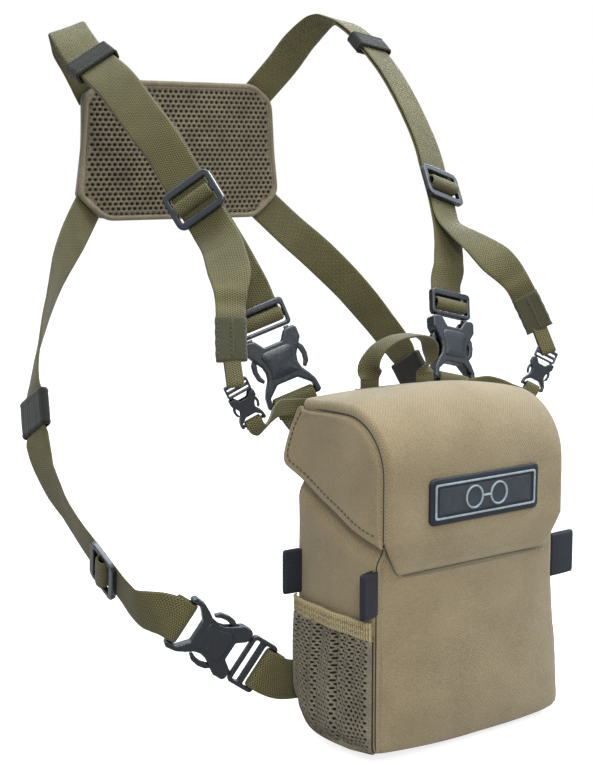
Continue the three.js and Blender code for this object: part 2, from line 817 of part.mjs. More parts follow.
const COLOURS = {
  cloth: [0x9c8a68, 0.9, 0],
  lining: [0x4a4436, 0.9, 0],
  webbing: [0x5a5430, 0.85, 0],
  mesh: [0x4a4232, 0.95, 0],
  spacer: [0x6e5f46, 0.95, 0],
  foam: [0x5d533c, 0.9, 0],
  elastic: [0x3a3c34, 0.9, 0],
  plastic: [0x1c1f24, 0.45, 0],
  loop: [0x26272a, 0.85, 0],
  rubber: [0x1a2026, 0.7, 0],
  steel: [0x8a8c90, 0.35, 0.9],
};

const pack = new THREE.Group();

function add(name, geometry, look) {
  const [color, roughness, metalness] = COLOURS[look];
  const mesh = new THREE.Mesh(geometry, new THREE.MeshStandardMaterial({ color, roughness, metalness }));
  mesh.name = name;
  pack.add(mesh);
}

function addBuckle(name, frame, sewn) {
  add(name + "_female", onStrap(buckleFemale(), frame), "plastic");
  add(name + "_male", onStrap(buckleMale(sewn), frame), "plastic");
  add(name + "_arm_a", onStrap(buckleArm(1), frame), "plastic");
  add(name + "_arm_b", onStrap(buckleArm(-1), frame), "plastic");
}

function addTriglide(name, frame, layers) {
  const out = LAYER * (layers - 1) + TAPE / 2 + GAP + TRIGLIDE.thickness / 2;
  const lifted = shifted([frame], out)[0];
  add(name, onStrap(triglideFrame(), lifted), "plastic");
  add(name + "_wrap", triglideWrap(lifted), "webbing");
}

function addPouch() {
  add("pouch_shell", pouchShell(), "cloth");
  add("pouch_liner", pouchLiner(), "lining");
  add("pouch_magnet", pouchMagnet(), "steel");
  add("lid_shell", lidShell(), "cloth");
  add("lid_magnet", lidMagnet(), "steel");
  add("badge", badge(), "rubber");
  add("grab_handle", grabHandle(), "webbing");
  add("handle_anchor", handleAnchor(), "webbing");
}

function addSide(side, word) {
  add("mesh_pocket_" + word, meshPocket(side), "mesh");
  add("side_loop_front_" + word, sideLoop(side, POUCH_FRONT + POUCH_CORNER), "loop");
  add("side_loop_rear_" + word, sideLoop(side, POUCH_BACK - POUCH_CORNER), "loop");

  add("shoulder_strap_" + word, shoulderStrap(side), "webbing");
  add("buckle_strap_" + word, buckleStrap(side), "webbing");
  const shoulder = shoulderFrames(side);
  const keeper = shifted([frameNear(shoulder.slice(12), 393 + side * 10)], -LAYER / 2)[0];
  add("shoulder_keeper_" + word, onStrap(tube(KEEPER.length, TAPE + LAYER, KEEPER.skin), keeper), "elastic");
  addTriglide("shoulder_triglide_" + word, frameNear(shoulder.slice(12), side > 0 ? 303 : 299), 1);
  addBuckle("shoulder_buckle_" + word, buckleFrame(SHOULDER_BUCKLE, side, X), false);
  add("shoulder_tab_" + word, shoulderTab(side), "webbing");

  add("lower_strap_" + word, lowerStrap(side), "webbing");
  const lower = strapFrames(LOWER_RUN, side, DOWN);
  add("lower_keeper_" + word, onStrap(tube(LOWER_KEEPER, TAPE, KEEPER.skin), frameNear(lower, 168)), "elastic");
  addTriglide("lower_triglide_" + word, frameNear(lower, 87), 1);
  addBuckle("lower_buckle_" + word, reversed(buckleFrame(LOWER_BUCKLE, side, DOWN)), true);
  add("lower_tab_" + word, lowerTab(side), "webbing");

  const mini = buckleFrame(MINI_BUCKLE, side, X);
  add("tether_buckle_female_" + word, onStrap(miniFemale(), mini), "plastic");
  add("tether_buckle_male_" + word, onStrap(miniMale(), mini), "plastic");
  add("tether_tab_" + word, tetherTab(side), "webbing");
}

addPouch();
addSide(-1, "left");
addSide(1, "right");
add("pad_face", padFace(), "spacer");
add("back_pad", backPad(), "foam");

export default pack;
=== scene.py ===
"""Visual model of a binocular harness pack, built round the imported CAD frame."""

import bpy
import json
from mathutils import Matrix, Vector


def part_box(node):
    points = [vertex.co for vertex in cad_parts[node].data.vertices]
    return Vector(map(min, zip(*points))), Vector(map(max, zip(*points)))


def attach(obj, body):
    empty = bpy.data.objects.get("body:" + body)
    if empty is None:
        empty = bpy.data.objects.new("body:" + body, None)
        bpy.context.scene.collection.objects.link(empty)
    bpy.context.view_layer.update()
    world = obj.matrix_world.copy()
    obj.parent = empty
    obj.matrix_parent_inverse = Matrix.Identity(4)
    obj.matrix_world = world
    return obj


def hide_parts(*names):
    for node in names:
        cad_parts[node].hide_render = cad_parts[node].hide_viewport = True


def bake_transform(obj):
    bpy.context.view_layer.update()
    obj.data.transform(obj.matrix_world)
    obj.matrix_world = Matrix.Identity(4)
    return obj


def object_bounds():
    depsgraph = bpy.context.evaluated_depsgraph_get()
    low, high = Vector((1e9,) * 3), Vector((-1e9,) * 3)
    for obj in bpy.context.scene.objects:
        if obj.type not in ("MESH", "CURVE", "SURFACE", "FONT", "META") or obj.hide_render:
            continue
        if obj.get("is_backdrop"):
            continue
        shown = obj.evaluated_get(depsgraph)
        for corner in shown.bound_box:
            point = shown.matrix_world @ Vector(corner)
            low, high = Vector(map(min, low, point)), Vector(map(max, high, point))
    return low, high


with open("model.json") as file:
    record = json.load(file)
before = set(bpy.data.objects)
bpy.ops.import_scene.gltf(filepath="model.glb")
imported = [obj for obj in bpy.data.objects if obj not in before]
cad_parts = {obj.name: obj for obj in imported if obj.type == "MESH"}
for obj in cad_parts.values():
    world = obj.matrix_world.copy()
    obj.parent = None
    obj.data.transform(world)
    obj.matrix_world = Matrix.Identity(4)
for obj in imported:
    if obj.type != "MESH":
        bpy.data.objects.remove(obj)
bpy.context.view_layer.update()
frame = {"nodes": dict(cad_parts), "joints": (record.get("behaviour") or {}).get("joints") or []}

import itertools
import json
import math

import bmesh
import bpy
import numpy as np
from mathutils import Matrix, Vector, noise

MM = 0.001
ROOT = "pack"
SIDES = (("left", -1), ("right", 1))
CLOTH_FRAMES = 14  # how long padded cloth is left to settle


def box_mm(node):
    """A CAD node's lowest and highest corners in millimetres."""
    return [np.array(corner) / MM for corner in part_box(node)]


# Pouch, in millimetres in the frame of the CAD
SHELL_LOW, SHELL_HIGH = box_mm("pouch_shell")
HALF = SHELL_HIGH[0] + 1.4
FRONT = SHELL_LOW[1] + 6.5
BACK = SHELL_HIGH[1]
HEIGHT = SHELL_HIGH[2]
FRONT_CORNER = 5.0
REAR_CORNER = 3.0
BODY_WALL = 3.2
FRONT_TOP = 96.0  # the front wall's sewn edge, where the lid hinges
FOOT_ROUND = {"front": 5.0, "side": 6.0, "back": 22.0}
BASE_SAG = 5.8
BASE_DROP = 3.0  # how much lower the middle of each lower edge hangs
RIGHT_DROP = 2.4
FRONT_BOW = 5.0
RIGHT_SPREAD = 7.0
FLAP_TUCK = {-1: 5.0, 1: 6.6}  # how far the side walls lean in under the lid's flaps
OUTLINE_STEP = 3.0

# Lid: the line its edge rolls run along, and the roll itself
SEAM_HALF = {-1: 68.8, 1: 67.2}
ROLL = 4.0
SEAM_FRONT = -38.3
SEAM_TOP = 185.6
SEAM_ROUND = 34.0
SEAM_LOW = 117.0
LID_REAR = 33.0
LID_SKIN = 1.9
FOOT_Y = -36.6
FOOT_Z = 97.6
FOOT_HALF = 57.0
SEAM_STEP = 2.4
# The flap's hem in y and z: the diagonal, the rear corner and the short rise to the top
HEM = (
    (-36.6, 113.6), (-30.4, 115.6), (-16.8, 120.1), (0.5, 128.2),
    (18.3, 136.6), (31.2, 143.6), (40.0, 147.8),
)
HEM_CORNER = (44.2, 151.4)
HEM_REAR = ((43.8, 157.0), (42.4, 163.1), (38.6, 175.2), (34.6, 183.6))

# Webbing
TAPE = 1.5
THIN_TAPE = 1.2
UNDER_PAD = 10.0  # how far a strap is carried on under the pad's edge


# ---------------------------------------------------------------- small geometry

def unit(vector):
    vector = np.asarray(vector, float)
    return vector / np.linalg.norm(vector)


def smoothstep(low, high, value):
    share = np.clip((value - low) / (high - low), 0.0, 1.0)
    return share * share * (3 - 2 * share)


def lengths_along(points):
    steps = np.linalg.norm(np.diff(points, axis=0), axis=1)
    return np.concatenate([[0.0], np.cumsum(steps)])


def spline(points, at):
    """A smooth line through points, evaluated at distances measured along their polygon."""
    points = np.asarray(points, float)
    where = lengths_along(points)
    slopes = np.gradient(points, where, axis=0)
    at = np.clip(at, 0, where[-1])
    span = np.clip(np.searchsorted(where, at, side="right") - 1, 0, len(where) - 2)
    width = where[span + 1] - where[span]
    u = ((at - where[span]) / width)[:, None]
    a, b = points[span], points[span + 1]
    ta, tb = slopes[span] * width[:, None], slopes[span + 1] * width[:, None]
    return (
        (2 * u**3 - 3 * u**2 + 1) * a
        + (u**3 - 2 * u**2 + u) * ta
        + (3 * u**2 - 2 * u**3) * b
        + (u**3 - u**2) * tb
    )


def even_line(points, step):
    """A smooth line through points, in even steps."""
    total = lengths_along(np.asarray(points, float))[-1]
    return spline(points, np.linspace(0, total, max(3, int(round(total / step)) + 1)))


def wobble(point, scale, seed=0.0):
    """Smooth noise between about -1 and 1 at a point in millimetres."""
    return noise.noise(Vector(point) / scale + Vector((seed, 1.7 * seed, -seed)))


# ---------------------------------------------------------------- pieces

def piece(name, points, faces, material, body=ROOT, stands_for=(), uv=None):
    """A smooth mesh object from points in millimetres, riding on a body."""
    mesh = bpy.data.meshes.new(name)
    mesh.from_pydata([tuple(p) for p in np.asarray(points, float) * MM], [], faces)
    mesh.validate()
    if uv is not None:
        layer = mesh.uv_layers.new(name="cloth")
        corners = np.empty(len(mesh.loops), int)
        mesh.loops.foreach_get("vertex_index", corners)
        layer.data.foreach_set("uv", np.asarray(uv, float)[corners].ravel())
    mesh.polygons.foreach_set("use_smooth", [True] * len(mesh.polygons))
    made = bpy.data.objects.new(name, mesh)
    bpy.context.scene.collection.objects.link(made)
    return dress(made, material, body, stands_for)


def dress(made, material, body=ROOT, stands_for=()):
    """Gives an object its material, its body (or none yet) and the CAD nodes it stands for."""
    made.data.materials.clear()
    made.data.materials.append(material)
    if body:
        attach(made, body)
    if stands_for:
        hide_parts(*stands_for)
    return made


def corner_arcs(half_x, half_z, corner, count):
    """Round the corners of a rectangle: each arc's centre and outward directions, anticlockwise."""
    made = []
    for x, z, turn in ((1, -1, -90), (1, 1, 0), (-1, 1, 90), (-1, -1, 180)):
        for angle in np.radians(turn + np.linspace(0, 90, count)):
            made.append((x * (half_x - corner), z * (half_z - corner), math.cos(angle), math.sin(angle)))
    return made


def frame_matrix(x, y, z, at):
    """The matrix whose axes are x, y and z and whose origin is at."""
    matrix = Matrix.Identity(4)
    for column, values in enumerate((x, y, z, at)):
        for row in range(3):
            matrix[row][column] = values[row]
    return matrix


def bend(before, here, after, count):
    """A rounded corner from before to after that is pulled towards here."""
    shares = np.linspace(0, 1, count)
    return [(1 - u) ** 2 * before + 2 * u * (1 - u) * here + u * u * after for u in shares]


def grid_faces(rows, columns, closed=False):
    """Quads over a grid of points stored row by row. A closed grid joins its last column to its first."""
    across = columns if closed else columns - 1
    faces = []
    for r in range(rows - 1):
        for c in range(across):
            d = (c + 1) % columns
            faces.append((r * columns + c, r * columns + d, (r + 1) * columns + d, (r + 1) * columns + c))
    return faces


def apply_modifiers(made):
    """Bakes an object's modifiers into its mesh."""
    bpy.context.view_layer.update()
    graph = bpy.context.evaluated_depsgraph_get()
    baked = bpy.data.meshes.new_from_object(made.evaluated_get(graph), depsgraph=graph)
    made.modifiers.clear()
    made.data = baked


def clean(made, distance=0.01):
    """Welds an object's vertices and turns its faces outwards."""
    work = bmesh.new()
    work.from_mesh(made.data)
    bmesh.ops.remove_doubles(work, verts=work.verts, dist=distance * MM)
    bmesh.ops.recalc_face_normals(work, faces=work.faces)
    for face in work.faces:
        face.smooth = True
    work.to_mesh(made.data)
    work.free()


def orient(made, outwards_at):
    """Turns an open sheet's faces the way that outwards_at(face) points for most of its area."""
    work = bmesh.new()
    work.from_mesh(made.data)
    bmesh.ops.recalc_face_normals(work, faces=work.faces)
    work.normal_update()
    if sum(outwards_at(face).dot(face.normal) * face.calc_area() for face in work.faces) < 0:
        bmesh.ops.reverse_faces(work, faces=work.faces)
    work.to_mesh(made.data)
    work.free()


def orient_outwards(made, height):
    """Turns a sheet's faces away from a point inside it, at a height in millimetres on the middle line."""
    centre = Vector((0, 0, height * MM))
    orient(made, lambda face: face.calc_center_median() - centre)


def orient_towards(made, direction):
    """Turns a sheet's faces to one side."""
    orient(made, lambda face: Vector(direction))


def thicken(made, thickness, offset=-1.0):
    solidify = made.modifiers.new("thickness", "SOLIDIFY")
    solidify.thickness = thickness * MM
    solidify.offset = offset
    apply_modifiers(made)


def relax_as_cloth(made, pinned, pressure, cap):
    """Lets a sheet swell like padded cloth between its pinned seams, by at most cap millimetres."""
    mesh = made.data
    rest = np.empty(3 * len(mesh.vertices))
    mesh.vertices.foreach_get("co", rest)
    rest = rest.reshape(-1, 3)
    group = made.vertex_groups.new(name="seams")
    group.add([int(i) for i in pinned], 1.0, "REPLACE")
    cloth = made.modifiers.new("cloth", "CLOTH")
    settings = cloth.settings
    settings.quality = 6
    settings.mass = 0.25
    settings.tension_stiffness = 20
    settings.compression_stiffness = 20
    settings.shear_stiffness = 8
    settings.bending_stiffness = 2
    settings.use_pressure = True
    settings.uniform_pressure_force = pressure
    settings.vertex_group_mass = "seams"
    settings.effector_weights.gravity = 0
    scene = bpy.context.scene
    for number in range(1, CLOTH_FRAMES + 1):
        scene.frame_set(number)
    graph = bpy.context.evaluated_depsgraph_get()
    moved = np.empty(3 * len(rest))
    made.evaluated_get(graph).data.vertices.foreach_get("co", moved)
    moves = moved.reshape(-1, 3) - rest
    size = np.linalg.norm(moves, axis=1, keepdims=True)
    moves *= np.minimum(1.0, cap * MM / np.maximum(size, 1e-9))
    made.modifiers.remove(cloth)
    made.vertex_groups.remove(group)
    mesh.vertices.foreach_set("co", (rest + moves).ravel())
    mesh.update()
    scene.frame_set(1)


# ---------------------------------------------------------------- materials

class Shader:
    """A principled material and short ways to add nodes to it."""

    def __init__(self, name, roughness=0.8, sheen=0.0, specular=0.3, metallic=0.0):
        self.material = bpy.data.materials.new(name)
        self.material.use_nodes = True
        self.nodes = self.material.node_tree.nodes
        self.links = self.material.node_tree.links
        self.base = self.nodes["Principled BSDF"]
        self.set(self.base, "Roughness", roughness)
        self.set(self.base, "Sheen Weight", sheen)
        self.set(self.base, "Sheen Roughness", 0.5)
        self.set(self.base, "Specular IOR Level", specular)
        self.set(self.base, "Metallic", metallic)

    def set(self, node, socket, value):
        if hasattr(value, "is_output"):
            self.links.new(value, node.inputs[socket])
        else:
            node.inputs[socket].default_value = value

    def uv(self):
        """Across and along the cloth, in millimetres."""
        split = self.nodes.new("ShaderNodeSeparateXYZ")
        self.links.new(self.nodes.new("ShaderNodeTexCoord").outputs["UV"], split.inputs[0])
        return split.outputs[0], split.outputs[1]

    def place(self):
        return self.nodes.new("ShaderNodeTexCoord").outputs["Object"]

    def math(self, operation, a, b=0.0, c=0.0):
        node = self.nodes.new("ShaderNodeMath")
        node.operation = operation
        for i, value in enumerate((a, b, c)):
            self.set(node, i, value)
        return node.outputs[0]

    def wave(self, value, period):
        """A sine of a length in millimetres, from 0 to 1."""
        turned = self.math("SINE", self.math("MULTIPLY", value, 2 * math.pi / period))
        return self.math("MULTIPLY_ADD", turned, 0.5, 0.5)

    def noise(self, size, detail=3.0, roughness=0.55, stretch=(1, 1, 1)):
        """Noise in object space whose features are about size millimetres across."""
        mapping = self.nodes.new("ShaderNodeMapping")
        self.set(mapping, "Scale", tuple(s / (size * MM) for s in stretch))
        self.links.new(self.place(), mapping.inputs["Vector"])
        node = self.nodes.new("ShaderNodeTexNoise")
        self.set(node, "Scale", 1.0)
        self.set(node, "Detail", detail)
        self.set(node, "Roughness", roughness)
        self.links.new(mapping.outputs[0], node.inputs["Vector"])
        return node.outputs[0]

    def ramp(self, value, *stops):
        """Colours at positions along a value."""
        node = self.nodes.new("ShaderNodeValToRGB")
        elements = node.color_ramp.elements
        while len(elements) < len(stops):
            elements.new(0.5)
        for element, (position, colour) in zip(elements, stops):
            element.position = position
            element.color = (*colour, 1.0)
        self.links.new(value, node.inputs[0])
        return node.outputs[0]

    def mix(self, share, a, b, blend="MIX"):
        node = self.nodes.new("ShaderNodeMix")
        node.data_type = "RGBA"
        node.blend_type = blend
        self.set(node, 0, share)
        for socket, value in ((6, a), (7, b)):
            self.set(node, socket, value if hasattr(value, "is_output") else (*value, 1.0))
        return node.outputs[2]

    def colour(self, value):
        self.set(self.base, "Base Color", value if hasattr(value, "is_output") else (*value, 1.0))

    def bump(self, height, distance, strength=1.0):
        """Relief of a height between 0 and 1 over a distance in millimetres."""
        node = self.nodes.new("ShaderNodeBump")
        self.set(node, "Strength", strength)
        self.set(node, "Distance", distance * MM)
        self.set(node, "Height", height)
        previous = self.base.inputs["Normal"]
        if previous.is_linked:
            self.links.new(previous.links[0].from_socket, node.inputs["Normal"])
        self.links.new(node.outputs[0], previous)


def canvas(name, dark, light, thread=0.62, sheen=0.35):
    """Plain-weave cloth with slubs, faint mottling and paler worn edges."""
    s = Shader(name, roughness=0.86, sheen=sheen, specular=0.22)
    u, v = s.uv()
    weave = s.math("MULTIPLY", s.wave(u, 2 * thread), s.wave(v, 2 * thread))
    other = s.math(
        "MULTIPLY",
        s.wave(s.math("ADD", u, thread), 2 * thread),
        s.wave(s.math("ADD", v, thread), 2 * thread),
    )
    cloth = s.math("ADD", weave, other)
    slub = s.noise(0.85, 2.0, 0.55, (0.55, 1, 1.8))
    body = s.ramp(s.noise(34, 4.0), (0.3, dark), (0.72, light))
    body = s.mix(s.math("MULTIPLY", cloth, 0.7), body, tuple(0.5 * c for c in dark))
    grain = s.ramp(slub, (0.38, (0, 0, 0)), (0.62, (1, 1, 1)))
    body = s.mix(s.math("MULTIPLY", grain, 0.24), body, tuple(1.45 * c for c in light))
    wear = s.nodes.new("ShaderNodeNewGeometry").outputs["Pointiness"]
    edge = s.ramp(wear, (0.5, (0, 0, 0)), (0.58, (1, 1, 1)))
    s.colour(s.mix(s.math("MULTIPLY", edge, 0.35), body, tuple(1.3 * c for c in light)))
    s.bump(cloth, 0.16, 0.7)
    s.bump(slub, 0.2, 0.5)
    s.bump(s.noise(9, 3.0), 0.5, 0.25)
    return s.material


def webbing(name, dark, light, sheen=0.25):
    """Woven tape: columns of slanting stitches that mirror one another."""
    s = Shader(name, roughness=0.72, sheen=sheen, specular=0.3)
    u, v = s.uv()
    slant = s.math("PINGPONG", s.math("ADD", u, 100.0), 1.4)
    tick = s.wave(s.math("ADD", v, s.math("MULTIPLY", slant, 0.9)), 1.4)
    column = s.wave(u, 1.4)
    height = s.math("MULTIPLY_ADD", tick, 0.7, s.math("MULTIPLY", column, 0.3))
    body = s.ramp(height, (0.15, dark), (0.85, light))
    fleck = s.noise(0.8, 2.0, 0.7)
    body = s.mix(s.math("MULTIPLY", fleck, 0.42), body, tuple(0.55 * c for c in dark))
    shade = s.ramp(s.noise(26, 3.0), (0.3, (0.8, 0.8, 0.8)), (0.7, (1.12, 1.12, 1.12)))
    s.colour(s.mix(1.0, body, shade, "MULTIPLY"))
    s.bump(height, 0.22, 0.8)
    s.bump(fleck, 0.15, 0.35)
    return s.material


def elastic(name, dark, light, pitch=1.3):
    """Ribbed elastic with fine cross threads."""
    s = Shader(name, roughness=0.82, sheen=0.2, specular=0.22)
    u, v = s.uv()
    rib = s.wave(u, pitch)
    thread = s.wave(s.math("ADD", v, s.math("MULTIPLY", u, 0.35)), 0.9)
    height = s.math("MULTIPLY_ADD", rib, 0.65, s.math("MULTIPLY", thread, 0.35))
    body = s.ramp(height, (0.2, dark), (0.85, light))
    s.colour(s.mix(s.math("MULTIPLY", s.noise(0.9, 2.0), 0.4), body, tuple(0.6 * c for c in dark)))
    s.bump(height, 0.3, 0.8)
    return s.material


def moulded_plastic(name, colour, roughness=0.34):
    """Injection-moulded plastic with a fine spark texture and edges rubbed paler."""
    s = Shader(name, roughness=roughness, specular=0.6)
    mottle = s.noise(6, 3.0)
    pale = tuple(1.9 * c + 0.012 for c in colour)
    wear = s.nodes.new("ShaderNodeNewGeometry").outputs["Pointiness"]
    edge = s.ramp(wear, (0.5, (0, 0, 0)), (0.6, (1, 1, 1)))
    body = s.mix(s.math("MULTIPLY", mottle, 0.35), colour, tuple(1.3 * c for c in colour))
    s.colour(s.mix(s.math("MULTIPLY", edge, 0.5), body, pale))
    s.set(s.base, "Roughness", s.math("MULTIPLY_ADD", s.noise(3, 2.0), 0.2, roughness - 0.08))
    s.bump(s.noise(0.35, 2.0, 0.7), 0.04, 0.4)
    return s.material


def rubber(name, colour, roughness=0.55):
    s = Shader(name, roughness=roughness, specular=0.4)
    dark, light = (tuple(share * c for c in colour) for share in (0.85, 1.2))
    s.colour(s.ramp(s.noise(4, 3.0), (0.3, dark), (0.7, light)))
    s.bump(s.noise(0.5, 2.0, 0.7), 0.05, 0.5)
    return s.material


def thread(name, colour):
    s = Shader(name, roughness=0.6, sheen=0.3)
    s.colour(s.ramp(s.noise(0.6, 2.0), (0.3, tuple(0.7 * c for c in colour)), (0.7, colour)))
    s.bump(s.noise(0.25, 1.0, 0.5, (1, 1, 3)), 0.08, 0.6)
    return s.material


def knit_strand(name, dark, light):
    """Knitted strands of an open mesh."""
    s = Shader(name, roughness=0.82, sheen=0.2, specular=0.25)
    strand = s.noise(0.7, 2.0, 0.65, (1, 1, 2.2))
    body = s.ramp(strand, (0.25, dark), (0.7, light))
    shade = s.ramp(s.noise(14, 3.0), (0.3, (0.75, 0.75, 0.75)), (0.7, (1.1, 1.1, 1.1)))
    s.colour(s.mix(1.0, body, shade, "MULTIPLY"))
    s.bump(strand, 0.25, 0.9)
    return s.material


def plated_steel(name):
    s = Shader(name, roughness=0.32, specular=0.5, metallic=0.95)
    s.colour(s.ramp(s.noise(5, 3.0), (0.3, (0.42, 0.43, 0.45)), (0.7, (0.58, 0.59, 0.6))))
    s.bump(s.noise(0.5, 2.0, 0.6, (0.1, 1, 1)), 0.02, 0.4)
    return s.material


CLOTH = canvas("tan_canvas", (0.265, 0.203, 0.112), (0.385, 0.303, 0.177), 0.95)
LINING = canvas("lining_cloth", (0.04, 0.036, 0.028), (0.07, 0.062, 0.048), 0.5)
BINDING = canvas("rim_binding", (0.15, 0.12, 0.07), (0.22, 0.175, 0.11), 0.5)
OLIVE = webbing("olive_webbing", (0.03, 0.026, 0.007), (0.245, 0.215, 0.088), 0.12)
SLEEVE = canvas("sleeve_cloth", (0.06, 0.057, 0.03), (0.095, 0.09, 0.05), 0.45, 0.15)
BLACK_TAPE = webbing("black_webbing", (0.005, 0.0065, 0.0095), (0.024, 0.029, 0.038), 0.06)
KEEPER = elastic("keeper_elastic", (0.008, 0.0085, 0.006), (0.03, 0.03, 0.022))
POCKET_TOP = elastic("pocket_elastic", (0.26, 0.2, 0.085), (0.78, 0.64, 0.36), 1.6)
NET = knit_strand("pocket_net", (0.075, 0.062, 0.04), (0.4, 0.35, 0.25))
# Near-black sheet colour behind the pocket nets: painted shade for the shaded pouch side seen through the
# holes.
NET_PAINTED_SHADE = canvas("net_painted_shade", (0.01, 0.008, 0.005), (0.02, 0.017, 0.012), 0.5)
SPACER = knit_strand("spacer_mesh", (0.1, 0.08, 0.045), (0.36, 0.3, 0.2))
PAD_BACKING = canvas("pad_backing", (0.012, 0.01, 0.007), (0.026, 0.022, 0.016), 0.5)
PAD_CLOTH = canvas("pad_cloth", (0.09, 0.074, 0.044), (0.135, 0.112, 0.07), 0.5)
PLASTIC = moulded_plastic("buckle_plastic", (0.006, 0.008, 0.012), 0.24)
BADGE = rubber("badge_rubber", (0.009, 0.012, 0.018))
BADGE_PANEL = rubber("badge_panel", (0.034, 0.04, 0.048), 0.6)
BADGE_GREY = rubber("badge_grey", (0.33, 0.39, 0.43), 0.5)
HEM_THREAD = thread("hem_thread", (0.075, 0.055, 0.028))
BAND_THREAD = thread("band_thread", (0.4, 0.33, 0.17))
TAN_THREAD = thread("tan_thread", (0.14, 0.11, 0.06))
PALE_THREAD = thread("pale_thread", (0.46, 0.38, 0.22))
# Dark thread for sewn seams. In the lid's edge groove it also stands for painted shade along the groove's
# shadow line.
DARK_THREAD = thread("dark_thread", (0.03, 0.024, 0.015))
OLIVE_THREAD = thread("olive_thread", (0.035, 0.034, 0.016))
STEEL = plated_steel("magnet_steel")


# ---------------------------------------------------------------- reading straps from the frame

def node_points(node):
    """A CAD node's distinct vertices in millimetres and, for each, the ones it shares an edge with."""
    mesh = frame["nodes"][node].data
    raw = np.empty(3 * len(mesh.vertices))
    mesh.vertices.foreach_get("co", raw)
    points, index = np.unique(np.round(raw.reshape(-1, 3) / MM, 3), axis=0, return_inverse=True)
    index = index.reshape(-1)
    near = [set() for _ in points]
    for edge in mesh.edges:
        a, b = index[edge.vertices[0]], index[edge.vertices[1]]
        if a != b:
            near[a].add(int(b))
            near[b].add(int(a))
    return points, near


def spread(near, seeds):
    """Sets of vertices at each number of edges from the seeds."""
    seen = set(seeds)
    rings = [sorted(seeds)]
    while True:
        following = {b for a in rings[-1] for b in near[a]} - seen
        if not following:
            return rings
        seen |= following
        rings.append(sorted(following))


def is_ring(points, ring):
    """Whether four vertices are the corners of one rectangle."""
    if len(ring) != 4:
        return False
    corners = points[ring]
    reach = np.linalg.norm(corners - corners.mean(axis=0), axis=1)
    return np.ptp(reach) < 0.05


def strap_rings(node):
    """The rectangles of a CAD strap, from one end to the other."""
    points, near = node_points(node)
    last = spread(near, [0])[-1][0]
    beyond = {b for a in near[last] for b in near[a]} | near[last]
    for others in itertools.combinations(sorted(beyond - {last}), 3):
        if not is_ring(points, [last, *others]):
            continue
        rings = spread(near, [last, *others])
        if all(is_ring(points, ring) for ring in rings):
            return [points[ring] for ring in rings]
    raise ValueError(f"{node} is not a strip of rectangles")


def strap_stations(node, start):
    """Centre, across direction and width at each ring of a strap, from the end nearest to start."""
    centres, acrosses, widths = [], [], []
    for corners in strap_rings(node):
        away = np.argsort(np.linalg.norm(corners - corners[0], axis=1))
        side = corners[away[2]] - corners[0]
        if acrosses and side @ acrosses[-1] < 0:
            side = -side
        centres.append(corners.mean(axis=0))
        acrosses.append(unit(side))
        widths.append(np.linalg.norm(side))
    made = [np.array(centres), np.array(acrosses), np.array(widths)]
    start = np.asarray(start, float)
    if np.linalg.norm(made[0][-1] - start) < np.linalg.norm(made[0][0] - start):
        made = [values[::-1] for values in made]
    return made


class Run:
    """An even run of frames along a strap: at, t along, w across, n out of its face, width."""

    def __init__(self, stations, step):
        centres, acrosses, widths = stations
        where = lengths_along(centres)
        count = max(3, int(round(where[-1] / step)) + 1)
        self.along = np.linspace(0, where[-1], count)
        self.at = spline(centres, self.along)
        across = np.stack([np.interp(self.along, where, acrosses[:, k]) for k in range(3)], axis=1)
        self.width = np.interp(self.along, where, widths)
        self.t = np.gradient(self.at, self.along, axis=0)
        self.t /= np.linalg.norm(self.t, axis=1, keepdims=True)
        across -= (across * self.t).sum(axis=1, keepdims=True) * self.t
        self.w = across / np.linalg.norm(across, axis=1, keepdims=True)
        self.n = np.cross(self.t, self.w)

    def part(self, first, last):
        """The stretch between two distances along the run."""
        keep = (self.along >= first) & (self.along <= last)
        made = object.__new__(Run)
        for key in ("at", "t", "w", "n", "width", "along"):
            setattr(made, key, getattr(self, key)[keep])
        return made


def tape_section(thickness, ribs, count):
    """Half-widths and heights round a tape with rounded selvedges and shallow lengthwise ribs."""
    across = np.linspace(-1, 1, count)
    edge = np.sqrt(np.clip(1 - np.abs(across) ** 12, 0, 1))
    height = edge * (thickness / 2 + 0.05 * np.cos(math.pi * ribs * across))
    return np.concatenate([across, across[-2:0:-1]]), np.concatenate([height, -height[-2:0:-1]])


def tape_mesh(run, thickness, ribs=11, count=29):
    """Points, faces and cloth coordinates of a tape along a run."""
    across, height = tape_section(thickness, ribs, count)
    columns = len(across)
    points, uv = [], []
    for i in range(len(run.at)):
        half = run.width[i] / 2
        ripple = 0.12 * wobble(run.at[i], 9.0, 3.0)
        lift = height + ripple
        points.append(run.at[i] + np.outer(across * half, run.w[i]) + np.outer(lift, run.n[i]))
        uv.append(np.stack([across * half, np.full(columns, run.along[i])], axis=1))
    faces = grid_faces(len(run.at), columns, closed=True)
    faces.append(tuple(range(columns))[::-1])
    last = (len(run.at) - 1) * columns
    faces.append(tuple(last + c for c in range(columns)))
    return np.concatenate(points), faces, np.concatenate(uv)


def tucked(stations, reach):
    """A strap's stations with its first end carried on under what it is sewn to."""
    centres, acrosses, widths = stations
    end = centres[0] + reach * unit(centres[0] - centres[1])
    return [np.vstack([end, centres]), np.vstack([acrosses[:1], acrosses]), np.append(widths[0], widths)]


def tape_along(run, name, thickness=TAPE, stands_for=(), material=OLIVE, body=ROOT, slot="webbing",
               **section):
    """A woven tape along a run."""
    points, faces, uv = tape_mesh(run, thickness, **section)
    clean(piece(name, points, faces, material, body, stands_for, uv), 0.001)


def tape(name, node, start, thickness=TAPE, step=1.8, tuck=0.0):
    """A woven tape in the place of a CAD strap."""
    stations = strap_stations(node, start)
    run = Run(tucked(stations, tuck) if tuck else stations, step)
    tape_along(run, name, thickness, (node,))
    return run


def flat_run(path, across, width, step):
    """A run of one width along a path, lying across one direction."""
    path = np.asarray(path, float)
    return Run([path, np.array([across] * len(path)), np.full(len(path), width)], step)


# ---------------------------------------------------------------- tubes and stitches

